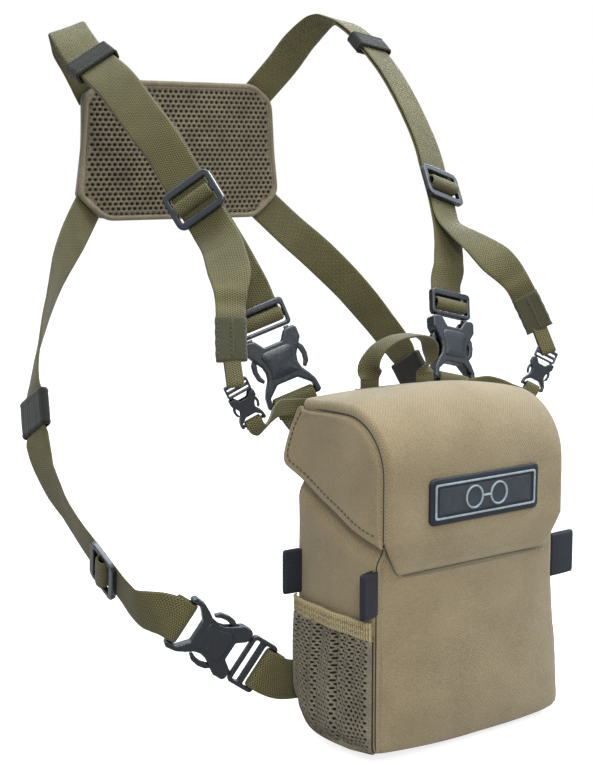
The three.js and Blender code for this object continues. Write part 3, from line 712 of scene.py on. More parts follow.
def tube_mesh(path, radius, sides=8, closed=False, flatten=1.0, up=(0, 0, 1)):
    """Points and faces of a round or flattened tube along a path in millimetres."""
    path = np.asarray(path, float)
    count = len(path)
    if closed:
        t = np.roll(path, -1, axis=0) - np.roll(path, 1, axis=0)
    else:
        t = np.gradient(path, axis=0)
    t /= np.linalg.norm(t, axis=1, keepdims=True)
    side = np.cross(np.asarray(up, float), t[0])
    if np.linalg.norm(side) < 1e-3:
        side = np.cross((1.0, 0.0, 0.0), t[0])
    points = []
    for i in range(count):
        side = unit(side - (side @ t[i]) * t[i])
        out = np.cross(t[i], side)
        for k in range(sides):
            angle = 2 * math.pi * k / sides
            points.append(path[i] + radius * (math.cos(angle) * side + flatten * math.sin(angle) * out))
    faces = grid_faces(count, sides, closed=True)
    if closed:
        last = (count - 1) * sides
        for k in range(sides):
            m = (k + 1) % sides
            faces.append((last + k, last + m, m, k))
    else:
        faces.append(tuple(range(sides))[::-1])
        faces.append(tuple((count - 1) * sides + k for k in range(sides)))
    return np.array(points), faces


def tube(name, path, radius, material, body=ROOT, closed=False, flatten=1.0, sides=8):
    points, faces = tube_mesh(path, radius, sides, closed, flatten)
    lengths = lengths_along(np.asarray(path, float))
    uv = [(6 * radius * k / sides, lengths[i]) for i in range(len(path)) for k in range(sides)]
    made = piece(name, points, faces, material, body, (), uv)
    clean(made, 0.0001)
    return made


def stitches(name, path, normals, material, body=ROOT, pitch=3.2, length=2.1, radius=0.3):
    """A row of thread stitches that rise out of the cloth along a path. One normal does for a plane."""
    path = np.asarray(path, float)
    normals = np.broadcast_to(np.asarray(normals, float), path.shape)
    where = lengths_along(path)
    points, faces = [], []

    def sample(values, at):
        return np.array([np.interp(at, where, values[:, k]) for k in range(3)])

    for start in np.arange(pitch / 2, where[-1] - length, pitch):
        bead = []
        for share in np.linspace(0, 1, 5):
            at = start + share * length
            rise = 0.7 * radius * math.sin(math.pi * share) - 0.35 * radius
            bead.append(sample(path, at) + rise * unit(sample(normals, at)))
        bead_points, bead_faces = tube_mesh(bead, radius, 6, up=sample(normals, start))
        base = sum(len(p) for p in points)
        points.append(bead_points)
        faces += [tuple(base + i for i in face) for face in bead_faces]
    if points:
        clean(piece(name, np.concatenate(points), faces, material, body, ()), 0.0001)


# ---------------------------------------------------------------- open meshes

def perforated_sheet(name, place, reach, low, high, cell, hole, depth, material, stands_for):
    """A sheet of staggered cells with a real hole in each.

    place(u, v, inwards) gives a point and reach(v) the lowest and highest u. cell and hole are sizes along
    u and v."""
    width, height = cell
    rim_spread, rim_rise = 1.2, 0.35
    points, uv, faces, index = [], [], [], {}

    def vertex(u, v, inwards):
        v = min(max(v, low), high)
        first, last = reach(v)
        u = min(max(u, first), last)
        key = (round(u, 2), round(v, 2), round(inwards, 2))
        if key not in index:
            index[key] = len(points)
            points.append(place(u, v, inwards))
            uv.append((u, v))
        return index[key]

    turns = np.radians((225, 270, 315, 0, 45, 90, 135, 180))
    sides = [(-1, -1), (0, -1), (1, -1), (1, 0), (1, 1), (0, 1), (-1, 1), (-1, 0)]
    edge = min(reach(v)[0] for v in np.linspace(low, high, 20))
    for r in range(int((high - low) / height) + 1):
        v = low + (r + 0.5) * height
        for c in range(int(-2 * edge / width) + 60):
            u = edge + (c + 0.5 * (r % 2)) * width
            first, last = reach(min(v, high))
            if u < first - width / 2 or u > last + width / 2 or v > high + height / 2:
                continue
            outer = [vertex(u + a * width / 2, v + b * height / 2, 0.0) for a, b in sides]
            below, above = reach(max(v - height / 2, low)), reach(min(v + height / 2, high))
            whole = u - width / 2 > max(below[0], above[0]) and u + width / 2 < min(below[1], above[1])
            if not (whole and v - height / 2 >= low and v + height / 2 <= high):
                ring = tuple(dict.fromkeys(outer))
                if len(ring) >= 3:
                    faces.append(ring)
                continue
            shape = [(hole[0] * math.cos(t), hole[1] * math.sin(t)) for t in turns]
            rim = [vertex(u + rim_spread * a, v + rim_spread * b, -rim_rise * depth) for a, b in shape]
            deep = [vertex(u + a, v + b, depth) for a, b in shape]
            for i in range(8):
                j = (i + 1) % 8
                faces.append((outer[i], outer[j], rim[j], rim[i]))
                faces.append((rim[i], rim[j], deep[j], deep[i]))
    return piece(name, points, faces, material, ROOT, stands_for, uv)


# ---------------------------------------------------------------- pouch body

def body_outline():
    """Points round the pouch seen from above: x, y, outward x, outward y, panel and share across it."""
    made = []

    def straight(start, end, out, panel):
        count = int(round(math.dist(start, end) / OUTLINE_STEP))
        for i in range(count):
            share = i / count
            x = start[0] + share * (end[0] - start[0])
            y = start[1] + share * (end[1] - start[1])
            made.append((x, y, *out, panel, share))

    def corner(cx, cy, r, turn):
        for i in range(4):
            angle = math.radians(turn + 90 * i / 4)
            out = (math.cos(angle), math.sin(angle))
            made.append((cx + r * out[0], cy + r * out[1], *out, "corner", i / 4))

    f, r = FRONT_CORNER, REAR_CORNER
    straight((-HALF + f, FRONT), (HALF - f, FRONT), (0, -1), "front")
    corner(HALF - f, FRONT + f, f, -90)
    straight((HALF, FRONT + f), (HALF, BACK - r), (1, 0), "side")
    corner(HALF - r, BACK - r, r, 0)
    straight((HALF - r, BACK), (-HALF + r, BACK), (0, 1), "back")
    corner(-HALF + r, BACK - r, r, 90)
    straight((-HALF, BACK - r), (-HALF, FRONT + f), (-1, 0), "side")
    corner(-HALF + f, FRONT + f, f, 180)
    return made


def rim_height(x, y):
    """Height of the pouch's open rim at a place on its outline."""
    if y > BACK - 1.5:
        return 177.5 + (HEIGHT - 4.5 - 177.5) * smoothstep(-HALF, -HALF + 12, -abs(x))
    if y < FRONT + 1.0 and abs(x) < HALF - FRONT_CORNER + 1:
        return FRONT_TOP + 17 * smoothstep(FOOT_HALF - 5, FOOT_HALF + 4, abs(x))
    places = (FRONT, FRONT + 4, FRONT + 9, 24, BACK)
    return float(np.interp(y, places, (112, 122, 146, 174, 176.5)))


def foot_inset(z, radius):
    """How far a wall is pulled in near a rounded bottom edge."""
    if z >= radius:
        return 0.0
    return radius - math.sqrt(max(radius * radius - (radius - z) ** 2, 0.0))


def hem_height(y):
    """Height of the lid flap's lower edge over a place on the pouch's side."""
    return float(np.interp(y, [p[0] for p in HEM], [p[1] for p in HEM]))


def sag(z):
    """How far the loaded pouch's lower part hangs below the frame's."""
    return BASE_SAG * (1 - smoothstep(-2, 42, z))


def body_point(place, z, inset=0.0):
    """A point on the pouch's outer cloth."""
    x, y, ox, oy, panel, share = place
    back = BACK - foot_inset(z, FOOT_ROUND["back"])
    front = FRONT + foot_inset(z, FOOT_ROUND["front"])
    side = HALF - foot_inset(z, FOOT_ROUND["side"])
    x *= side / HALF
    y = front + (y - FRONT) * (back - front) / (BACK - FRONT)
    middle = math.sin(math.pi * share)
    tucked = smoothstep(hem_height(y) - 14, hem_height(y) - 3, z)
    crown = 0.0
    if panel == "front":
        bow = (1 - min(abs(x) / (HALF - FRONT_CORNER), 1.0) ** 2) ** 0.7
        y -= FRONT_BOW * bow * (0.45 + 0.55 * smoothstep(0, 30, z))
    if panel == "side":
        crown = 1.5 * middle * (1 - tucked)
    if panel != "back":
        x -= FLAP_TUCK[-1 if x < 0 else 1] * (x / HALF) * tucked
    if x > 0:
        x += RIGHT_SPREAD * (x / HALF) * (1 - smoothstep(6, 74, z))
    crown += 0.5 * wobble((x, y, z), 22.0) * smoothstep(0, 12, z)
    crown += 0.45 * wobble((x, y, 2.2 * z), 15.0, 4.0) * (1 - smoothstep(30, 60, z)) * smoothstep(2, 10, z)
    crown -= inset
    drop = RIGHT_DROP * smoothstep(0, HALF, x)
    if panel in ("front", "side"):
        drop += BASE_DROP * middle
    return (x + crown * ox, y + crown * oy, z - sag(z) - drop * (1 - smoothstep(2, 24, z)))


def body_sheet(inset=0.0, lower=0.0, high=1.0):
    """Points, faces, cloth coordinates, outline and row count of the pouch's cloth, open at the rim."""
    outline = body_outline()
    columns = len(outline)
    around = lengths_along(np.array([[p[0], p[1]] for p in outline]))
    levels = [0, 0.35, 1.1, 2.2, 3.8, 6, 8.5, 11.5, 15, 19, 23] + list(np.arange(26, 91, 3.0))
    points, uv = [], []
    for z in levels:
        points += [body_point(place, z + lower, inset) for place in outline]
        uv += [(around[c], z) for c in range(columns)]
    shares = np.linspace(0, 1, 22)[1:]
    for share in shares:
        for c, place in enumerate(outline):
            z = levels[-1] + share * (high * rim_height(place[0], place[1]) - levels[-1])
            points.append(body_point(place, z, inset))
            uv.append((around[c], z))
    rows = len(levels) + len(shares)
    faces = grid_faces(rows, columns, closed=True)
    base = points[0][2]
    centre = np.array([0.0, (FRONT + BACK) / 2 - 6, base])
    rings = [list(range(columns))]
    for share in (0.85, 0.7, 0.52, 0.34, 0.16):
        first = len(points)
        for c in range(columns):
            p = centre + (np.array(points[c]) - centre) * share
            points.append((p[0], p[1], base + 0.8 * (1 - share)))
            uv.append((p[0], p[1]))
        rings.append(list(range(first, first + columns)))
    hub = len(points)
    points.append((centre[0], centre[1], base + 0.8))
    uv.append((0.0, 0.0))
    for outer, inner in zip(rings, rings[1:]):
        for c in range(columns):
            d = (c + 1) % columns
            faces.append((outer[d], outer[c], inner[c], inner[d]))
    faces += [(rings[-1][(c + 1) % columns], rings[-1][c], hub) for c in range(columns)]
    return np.array(points), faces, uv, outline, rows


def pouch_body():
    points, faces, uv, outline, rows = body_sheet()
    columns = len(outline)
    made = piece("pouch_body", points, faces, CLOTH, ROOT, ("pouch_shell",), uv)
    orient_outwards(made, 80)
    pinned = {(rows - 1) * columns + c for c in range(columns)}
    pinned |= {(rows - 2) * columns + c for c in range(columns)}
    for c, place in enumerate(outline):
        for r in range(rows):
            y, z = points[r * columns + c][1:]
            under_flap = abs(place[0]) > HALF - 2 and z > hem_height(y) - 12
            behind = place[4] == "back"
            if place[4] == "corner" or r < 4 or under_flap or behind:
                pinned.add(r * columns + c)
    pinned |= set(range(rows * columns, len(points)))
    relax_as_cloth(made, sorted(pinned), 2.5, 1.6)
    thicken(made, BODY_WALL)
    clean(made, 0.0001)
    return points, outline, rows


def pouch_lining():
    points, faces, uv = body_sheet(inset=4.4, lower=4.6, high=0.985)[:3]
    made = piece("lining", points, faces, LINING, ROOT, ("pouch_liner",), uv)
    orient_outwards(made, 80)
    thicken(made, 0.8)


def rim_binding(points, outline, rows):
    """Bias tape rolled over the pouch's open rim."""
    columns = len(outline)
    rim = points[(rows - 1) * columns : rows * columns].copy()
    for c, place in enumerate(outline):
        rim[c][0] -= place[2] * BODY_WALL / 2
        rim[c][1] -= place[3] * BODY_WALL / 2
    closed = np.concatenate([rim, rim[:1]])
    smooth = even_line(closed, 2.5)[:-1]
    smooth[:, 2] -= 0.4
    tube("rim_binding", smooth, 2.0, BINDING, ROOT, True, 1.0, 10)


def vertical_seams(points, outline, rows):
    """The dark sewn line down each of the pouch's corners."""
    columns = len(outline)
    for c, place in enumerate(outline):
        if place[4] != "corner" or place[5] != 0.5:
            continue
        word = ("front" if place[3] < 0 else "back") + ("_left" if place[0] < 0 else "_right")
        line = points[c : rows * columns : columns][4:]
        out = np.array([place[2], place[3], 0.0])
        tube("seam_" + word, even_line(line - 0.12 * out, 2.5), 0.4, DARK_THREAD, ROOT)


# ---------------------------------------------------------------- lid

def seam_line():
    """The lid's side seam in y and z, from its lower front corner over the top to the rear."""
    low_front = [(SEAM_FRONT, z) for z in np.arange(SEAM_LOW, SEAM_TOP - SEAM_ROUND, SEAM_STEP)]
    turns = np.radians(np.arange(0, 90, 90 * SEAM_STEP / (0.5 * math.pi * SEAM_ROUND)))
    bend = [
        (SEAM_FRONT + SEAM_ROUND * (1 - math.cos(a)), SEAM_TOP - SEAM_ROUND * (1 - math.sin(a)))
        for a in turns
    ]
    top = [(y, SEAM_TOP) for y in np.arange(SEAM_FRONT + SEAM_ROUND, LID_REAR, SEAM_STEP)]
    return np.array([*low_front, *bend, *top, (LID_REAR, SEAM_TOP)])


def hem_line(count):
    """The flap's free edge in y and z: along the diagonal to the rear corner, then up to the top."""
    lower = even_line(HEM, 1.0)
    corner = [(42.6, 149.0), HEM_CORNER, (44.3, 154.0)]
    upper = even_line([*HEM_REAR, (LID_REAR, SEAM_TOP - 2.4)], 1.0)
    whole = np.concatenate([lower, corner, upper])
    where = lengths_along(whole)
    at = np.linspace(0, where[-1], count)
    return np.stack([np.interp(at, where, whole[:, k]) for k in range(2)], axis=1)


def lid_normal(seam, i):
    """Outward direction in y and z across the lid's seam line."""
    along = unit(seam[min(i + 1, len(seam) - 1)] - seam[max(i - 1, 0)])
    return np.array([-along[1], along[0]])


def lid_crown(z, y):
    """How far the middle of the lid stands out from the tops of its edge rolls."""
    over_top = smoothstep(140, 184, z)
    return 0.9 + 4.4 * over_top - 3.4 * smoothstep(-4, LID_REAR, y) * over_top


def lid_section(crown):
    """The lid's cross-section: x and lift off the seam line, from one edge groove to the other."""
    made = []
    for side in (-1, 1):
        half = SEAM_HALF[side]
        roll = [(half - 1.0, -2.6), (half - 0.35, -1.7)]
        for turn in np.radians((-12, 10, 32, 54, 74)):
            roll.append((half - ROLL + ROLL * math.cos(turn), ROLL * math.sin(turn)))
        made.append([(side * x, lift) for x, lift in roll])
    left, right = SEAM_HALF[-1] - ROLL, SEAM_HALF[1] - ROLL
    middle = []
    for a in np.linspace(-1, 1, 55):
        x = a * (left if a < 0 else right)
        middle.append((x, ROLL + crown * (1 - a * a) ** 0.75))
    return [*made[0], *middle, *made[1][::-1]]


def lid_front_y(x, z):
    """Where the middle part of the lid's front face is, at a height between the foot and the bend."""
    share = min(max((z - FOOT_Z) / (SEAM_LOW - FOOT_Z), 0.0), 1.0)
    base = FOOT_Y + (SEAM_FRONT - FOOT_Y) * share
    lift = ROLL + lid_crown(z, SEAM_FRONT) * (1 - min(abs(x) / 66.5, 1.0) ** 2) ** 0.75
    return base - lift * (0.3 + 0.7 * share**0.8)


def lid_panel(seam):
    """The single panel of the lid's front and top: rows of points from the foot to the rear edge."""
    rows = []
    for z in np.linspace(FOOT_Z, SEAM_LOW, 9, endpoint=False):
        share = (z - FOOT_Z) / (SEAM_LOW - FOOT_Z)
        scale = (FOOT_HALF + (SEAM_HALF[1] - FOOT_HALF) * share**0.85) / SEAM_HALF[1]
        base = FOOT_Y + (SEAM_FRONT - FOOT_Y) * share
        section = lid_section(lid_crown(z, SEAM_FRONT))
        rows.append([(x * scale, base - lift * (0.3 + 0.7 * share**0.8), z) for x, lift in section])
    for i, (y, z) in enumerate(seam):
        out = lid_normal(seam, i)
        row = []
        for x, lift in lid_section(lid_crown(z, y)):
            lift += 0.35 * wobble((x, y, z), 26.0, 5.0) * (1 - min(abs(x) / 68, 1.0) ** 8)
            lift -= 1.6 * smoothstep(4, LID_REAR, y) + 2.2 * smoothstep(10, 66, x) * smoothstep(140, 184, z)
            row.append((x, y + lift * out[0], z + lift * out[1]))
        rows.append(row)
    return rows


def flap_reach(side, y, z, gone, reach):
    """How far out the flap is at y and z, gone millimetres from its seam out of reach in all."""
    share = gone / max(reach, 1e-6)
    belly = math.sin(math.pi * share) * min(1.0, reach / 45) * 1.1
    kick = 2.4 * math.exp(-((y - HEM_CORNER[0]) ** 2 + (z - HEM_CORNER[1]) ** 2) / 300)
    hem = 0.5 * smoothstep(reach - 8.6, reach - 7.6, gone) * smoothstep(9, 14, reach)
    belly += 1.8 * smoothstep(0.35, 1.0, share) * min(1.0, reach / 30)
    wave = 0.4 * wobble((y, z, side * 40), 20.0, 9.0) * smoothstep(0, 9, gone)
    return abs(SEAM_HALF[side]) - 1.0 + 2.3 * smoothstep(0, 3.2, gone) + belly + kick + hem + wave


def lid_flap(side, starts, hem):
    """A side flap: rows of points from the seam's groove to the hem."""
    near_seam = (0, 0.012, 0.03, 0.055, 0.09, 0.14, 0.21)
    near_hem = (0.68, 0.76, 0.83, 0.88, 0.92, 0.96, 1)
    made = []
    for share in (*near_seam, 0.3, 0.4, 0.5, 0.6, *near_hem):
        line = []
        for (sy, sz), (hy, hz) in zip(starts, hem):
            reach = math.dist((sy, sz), (hy, hz))
            y, z = sy + share * (hy - sy), sz + share * (hz - sz)
            line.append((side * flap_reach(side, y, z, share * reach, reach), y, z))
        made.append(line)
    return made


def lid():
    seam = seam_line()
    hem = hem_line(len(seam))
    panel = lid_panel(seam)
    columns = len(panel[0])
    skipped = len(panel) - len(seam)
    points = [p for row in panel for p in row]
    faces = grid_faces(len(panel), columns)
    uv = [(p[0], 2.3 * r) for r, row in enumerate(panel) for p in row]
    pinned = {(len(panel) - 1) * columns + c for c in range(columns)} | set(range(columns))
    for r in range(len(panel)):
        pinned |= {r * columns + c for c in range(columns) if c < 7 or c >= columns - 7}
    starts = [(p[0][1], p[0][2]) for p in panel[skipped:]]
    for _, side in SIDES:
        flap = lid_flap(side, starts, hem)
        first = len(points)
        points += [p for row in flap[1:] for p in row]
        uv += [(p[1], p[2]) for row in flap[1:] for p in row]
        faces += [tuple(first + i for i in face) for face in grid_faces(len(flap) - 1, len(seam))]
        edge = 0 if side < 0 else columns - 1
        for i in range(len(seam) - 1):
            a = (skipped + i) * columns + edge
            faces.append((a, a + columns, first + i + 1, first + i))
        last = first + (len(flap) - 2) * len(seam)
        pinned |= set(range(first, first + 3 * len(seam))) | set(range(last, last + len(seam)))
    made = piece("lid_cloth", points, faces, CLOTH, "lid", ("lid_shell",), uv)
    orient_outwards(made, 150)
    relax_as_cloth(made, sorted(pinned), 2.0, 1.2)
    thicken(made, LID_SKIN)
    clean(made, 0.02)
    for word, side in SIDES:
        lid_seam(word, side, seam)
        hem_stitches(word, side, starts, hem)


def lid_seam(word, side, seam):
    """A dark thread tube deep in the groove behind the lid's edge roll: the seam, and painted shade for the
    groove's dark shadow line.
    """
    path = []
    for i, (y, z) in enumerate(seam):
        out = lid_normal(seam, i)
        path.append((side * (SEAM_HALF[side] - 0.7), y - 2.2 * out[0], z - 2.2 * out[1]))
    tube("lid_seam_" + word, even_line(path, 2.2), 0.55, DARK_THREAD, "lid")


def hem_stitches(word, side, starts, hem):
    inner = []
    for (sy, sz), (hy, hz) in zip(starts, hem):
        reach = math.dist((sy, sz), (hy, hz))
        if reach < 9:
            continue
        gone = reach - 4.8
        y, z = sy + gone / reach * (hy - sy), sz + gone / reach * (hz - sz)
        inner.append((side * (flap_reach(side, y, z, gone, reach) + 0.25), y, z))
    stitches("hem_stitches_" + word, inner, (side, 0, 0), HEM_THREAD, "lid", 3.3, 2.0, 0.38)


def front_wall_y(x):
    """Where the pouch's front wall is near its top edge."""
    return FRONT - FRONT_BOW * (1 - min(abs(x) / (HALF - FRONT_CORNER), 1.0) ** 2) ** 0.7


def hinge_fold():
    """The strip of cloth that bends between the pouch's front wall and the lid's foot."""
    across = np.linspace(-1, 1, 49)
    rows = []
    for z in np.linspace(FRONT_TOP - 3.5, FOOT_Z + 3.5, 13):
        line = []
        for a in across:
            x = (FOOT_HALF - 0.4) * a
            share = smoothstep(FRONT_TOP - 1, FOOT_Z + 1, z)
            dip = 0.8 * math.exp(-((z - 96.8) ** 2) / 1.6)
            wall, foot = front_wall_y(x) + 0.9, lid_front_y(x, z) + 0.9
            line.append((x, wall + share * (foot - wall) + dip, z))
        rows.append(line)
    points = [p for row in rows for p in row]
    uv = [(p[0], p[2]) for p in points]
    made = piece("lid_hinge_fold", points, grid_faces(len(rows), len(across)), CLOTH, None, (), uv)
    orient_outwards(made, 100)
    thicken(made, 1.1, 0.0)
    clean(made, 0.001)
    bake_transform(made)
    for word, first, last in (("left", -HALF + 5, -FOOT_HALF + 4), ("right", FOOT_HALF - 4, HALF - 5)):
        edge = [(x, front_wall_y(x) - 0.3, FRONT_TOP - 1.8) for x in np.linspace(first, last, 20)]
        name = "front_edge_stitches_" + word
        stitches(name, edge, (0, -1, 0), PALE_THREAD, ROOT, 3.0, 1.9, 0.34)


# ---------------------------------------------------------------- badge

def badge_outline(half_x, half_z, corner):
    arcs = corner_arcs(half_x, half_z, corner, 9)
    return np.array([(x + corner * out_x, z + corner * out_z) for x, z, out_x, out_z in arcs])


def badge_ring(outline, share_x, share_z, depth):
    return [(u * share_x, v * share_z, depth) for u, v in outline]


def plate_rings(outline, half_z, back, front):
    """From a plate's back edge over its softened front edge to the middle of its front."""
    soft = 0.45
    loops = [(1.0, back), (1.0, front - soft), (1 - soft / half_z, front)]
    loops += [(share, front) for share in (0.8, 0.6, 0.4, 0.2, 0.02)]
    return [badge_ring(outline, share, share, depth) for share, depth in loops]


def border_rings(outline, half_x, half_z, width, back, front):
    """From a border's outer back edge over its top to its inner back edge."""
    inner = outline * ((half_x - width) / half_x, (half_z - width) / half_z)
    wall_top = front - 0.2
    return [
        badge_ring(outline, 1, 1, back),
        badge_ring(outline, 1, 1, wall_top),
        badge_ring(outline, 0.997, 0.985, front),
        badge_ring(inner, 1.003, 1.012, front),
        badge_ring(inner, 1, 1, wall_top),
        badge_ring(inner, 1, 1, back),
    ]


def badge_part(name, rings, middle, material, hollow=False, stands_for=()):
    """A rubber part on the lid's front from rings of places across, up and proud of the lid."""
    columns = len(rings[0])
    points = []
    for u, v, depth in (spot for ring in rings for spot in ring):
        points.append((u, lid_front_y(u, middle + v) - depth, middle + v))
    faces = grid_faces(len(rings), columns, closed=True)
    last = (len(rings) - 1) * columns
    if hollow:
        faces += [(last + (i + 1) % columns, last + i, i, (i + 1) % columns) for i in range(columns)]
    else:
        faces.append(tuple(last + i for i in range(columns)))
        faces.append(tuple(range(columns))[::-1])
    clean(piece(name, points, faces, material, "lid", stands_for), 0.001)


def emblem(middle):
    """Two plain rings joined by a bar."""
    radius, proud = 6.2, 2.5
    for word, centre in (("left", -9.5), ("right", 9.5)):
        path = []
        for turn in np.linspace(0, 2 * math.pi, 40, endpoint=False):
            x, z = centre + radius * math.cos(turn), middle + radius * math.sin(turn)
            path.append((x, lid_front_y(x, z) - proud, z))
        tube("badge_ring_" + word, path, 0.85, BADGE_GREY, "lid", True, 0.7)
    bar = [(x, lid_front_y(x, middle) - proud, middle) for x in np.linspace(-3.0, 3.0, 7)]
    tube("badge_bridge", bar, 1.1, BADGE_GREY, "lid", False, 0.6)


def badge():
    """A rubber plate that follows the lid's front, with a raised grey border and a plain emblem."""
    low, high = box_mm("badge")
    half, rise, middle = (high[0] - low[0]) / 2, (high[2] - low[2]) / 2, (high[2] + low[2]) / 2
    plate = badge_outline(half, rise, 3.2)
    badge_part("badge_plate", plate_rings(plate, rise, 0.25, 2.2), middle, BADGE, False, ("badge",))
    wide, tall = half - 3.0, rise - 3.0
    border = badge_outline(wide, tall, 1.6)
    badge_part("badge_border", border_rings(border, wide, tall, 1.15, 2.1, 2.9), middle, BADGE_GREY, True)
    wide, tall = half - 5.4, rise - 5.4
    panel = badge_outline(wide, tall, 1.0)
    badge_part("badge_panel", plate_rings(panel, tall, 2.1, 2.45), middle, BADGE_PANEL)
    emblem(middle)


# ---------------------------------------------------------------- mesh pockets and loops

POCKET_TOP_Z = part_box("mesh_pocket_left")[1][2] / MM
BAND_LOW_Z = POCKET_TOP_Z - 10.0
POCKET_FRONT = FRONT + 2.0
POCKET_BACK = BACK + 0.6
RIGHT_SETBACK = 3.0


def pocket_reach(share, z):
    """How far the pocket stands off the pouch's side, at a share of its width and a height."""
    swell = math.sin(math.pi * min(max(share, 0.0), 1.0)) ** (0.5 if share < 0.5 else 0.3)
    fall = smoothstep(-4, 14, z)
    return 0.8 + (7.2 - 2.6 * smoothstep(30, BAND_LOW_Z, z)) * swell * fall


def pocket_fold(share, z):
    """Gathers that run down from the elastic and fade towards the foot."""
    gather = math.sin(2 * math.pi * (5.3 * share + 0.25 * math.sin(7 * share)))
    gather += 0.4 * math.sin(2 * math.pi * (11.6 * share + 0.3))
    deep = -5.2 * math.exp(-(((share - 0.36 - 0.0006 * z) / 0.035) ** 2))
    deep -= 3.0 * math.exp(-(((share - 0.17 - 0.0003 * z) / 0.03) ** 2))
    deep -= 3.0 * math.exp(-(((share - 0.63 + 0.0004 * z) / 0.035) ** 2))
    fade = 0.3 + 0.7 * smoothstep(0, 50, z)
    edges = smoothstep(0, 0.1, share) * smoothstep(0, 0.1, 1 - share)
    return (gather + deep) * fade * edges


def side_foot(y):
    """Height of the rounded lower edge of the pouch's side panel, before it sags."""
    rear, front = FOOT_ROUND["back"], FOOT_ROUND["front"]
    if y > BACK - rear:
        return rear - math.sqrt(max(rear**2 - (y - BACK + rear) ** 2, 0.0))
    if y < FRONT + front:
        return front - math.sqrt(max(front**2 - (FRONT + front - y) ** 2, 0.0))
    return 0.0


def pocket_place(side, y, level, inwards):
    """A point on a pocket's net, level being the share of its height."""
    share = (y - POCKET_FRONT) / (POCKET_BACK - POCKET_FRONT)
    if side > 0:
        y += RIGHT_SETBACK * (1 - share)
    foot = side_foot(y) + 0.6
    z = foot + level * (BAND_LOW_Z + 1.5 - foot)
    above = z - foot
    reach = pocket_reach(share, above) + pocket_fold(share, z)
    reach -= 3.2 * (1 - smoothstep(0, 10, above)) * math.sin(math.pi * share) ** 0.5
    wide = RIGHT_SPREAD * (1 - smoothstep(6, 74, z)) if side > 0 else 0.0
    x = HALF + wide - 0.75 * foot_inset(max(z, 0), FOOT_ROUND["side"]) + max(reach, 0.6) - inwards
    drop = BASE_DROP * math.sin(math.pi * share) + (RIGHT_DROP if side > 0 else 0.0)
    return (side * x, y, z - sag(z) - drop * (1 - smoothstep(2, 24, z)))


def pocket(word, side):
    scale = BAND_LOW_Z
    net = perforated_sheet(
        "net_" + word,
        lambda y, v, inwards: pocket_place(side, y, v / scale, inwards),
        lambda v: (POCKET_FRONT, POCKET_BACK),
        0.0,
        scale,
        (3.1, 1.95),
        (1.16, 0.68),
        0.6,
        NET,
        ("mesh_pocket_" + word,),
    )
    orient_towards(net, (side, 0, 0))
    # A dark sheet 1 mm behind the net: painted shade, standing in for the shaded pouch side that shows
    # through the holes.
    ys = np.linspace(POCKET_FRONT, POCKET_BACK, 75)
    points = [pocket_place(side, y, level, 1.0) for level in np.linspace(0, 1, 34) for y in ys]
    uv = [(p[1], p[2]) for p in points]
    dark_sheet = piece("net_painted_shade_" + word, points, grid_faces(34, 75), NET_PAINTED_SHADE, ROOT, (), uv)
    orient_towards(dark_sheet, (side, 0, 0))
    pocket_band(word, side)


def pocket_band(word, side):
    """The ribbed elastic along the pocket's top, and the zigzag stitches that hold it."""
    shares = np.linspace(0, 1, 181)
    heights = (BAND_LOW_Z - 0.4, BAND_LOW_Z + 0.6, BAND_LOW_Z + 2.5, BAND_LOW_Z + 5, BAND_LOW_Z + 7.5,
               POCKET_TOP_Z - 1.3, POCKET_TOP_Z - 0.4, POCKET_TOP_Z)
    edge = (0.3, 1.0, 1.2, 1.15, 1.1, 1.5, 1.3, 0.4)
    points, uv = [], []

    def surface(share, z):
        y = POCKET_FRONT - 0.5 + share * (POCKET_BACK - POCKET_FRONT + 0.8)
        if side > 0:
            y += RIGHT_SETBACK * (1 - share)
        return y, HALF + pocket_reach(share, z) - 0.9 + 0.45 * math.sin(18 * share)

    for z, proud in zip(heights, edge):
        for share in shares:
            y, x = surface(share, z)
            x += proud + 0.17 * math.sin(2 * math.pi * y / 1.6)
            points.append((side * x, y, z + 1.4 - 2.4 * (1 - share)))
            uv.append((y, z))
    made = piece("pocket_band_" + word, points, grid_faces(len(heights), len(shares)), POCKET_TOP,
                 ROOT, (), uv)
    orient_towards(made, (side, 0, 0))
    thicken(made, 0.9)
    clean(made, 0.001)
    pitch = 1.1
    for row, (low, high) in (("low", (2.2, 4.2)), ("high", (5.4, 7.4))):
        zigzag = []
        for i in range(int((POCKET_BACK - POCKET_FRONT) / pitch)):
            share = (i + 0.5) * pitch / (POCKET_BACK - POCKET_FRONT)
            z = BAND_LOW_Z + (low if i % 2 else high)
            y, x = surface(share, z)
            zigzag.append((side * (x + 1.4), y, z + 1.4 - 2.4 * (1 - share)))
        tube(f"zigzag_{row}_{word}", zigzag, 0.24, BAND_THREAD, ROOT, sides=6)


def side_loop(word, side, place):
    """Folded webbing sewn into a vertical seam of the pouch."""
    node = f"side_loop_{place}_{word}"
    low, high = box_mm(node)
    root = np.array((HALF - 1.5, FRONT + 2.5) if place == "front" else (HALF - 1.5, BACK - 2.5))
    swing = {("front", -1): -17, ("rear", -1): 5, ("front", 1): 3, ("rear", 1): -5}[(place, side)]
    away = np.array((math.cos(math.radians(swing)), math.sin(math.radians(swing))))
    across = np.array((-away[1], away[0]))
    reach = {("front", -1): 13.5, ("rear", -1): 12.5, ("front", 1): 20.0, ("rear", 1): 15.0}[(place, side)]
    turn = 1.25
    shape = [(0, -turn), (4, -turn - 0.25), (reach - turn - 1.5, -turn)]
    for angle in np.radians((30, 60, 90, 120, 150)):
        shape.append((reach - turn + turn * math.sin(angle), -turn * math.cos(angle)))
    shape += [(reach - turn - 1.5, turn), (4, turn + 0.25), (0, turn)]
    centre_z = (low[2] + high[2]) / 2
    path = []
    for along, off in shape:
        spot = root + along * away + off * across
        path.append((side * spot[0], spot[1], centre_z))
    run = flat_run(path, (0.0, 0.0, 1.0), high[2] - low[2], 0.8)
    tape_along(run, f"loop_{place}_{word}", 1.35, (node,), BLACK_TAPE, slot="loop_webbing")


# ---------------------------------------------------------------- straps

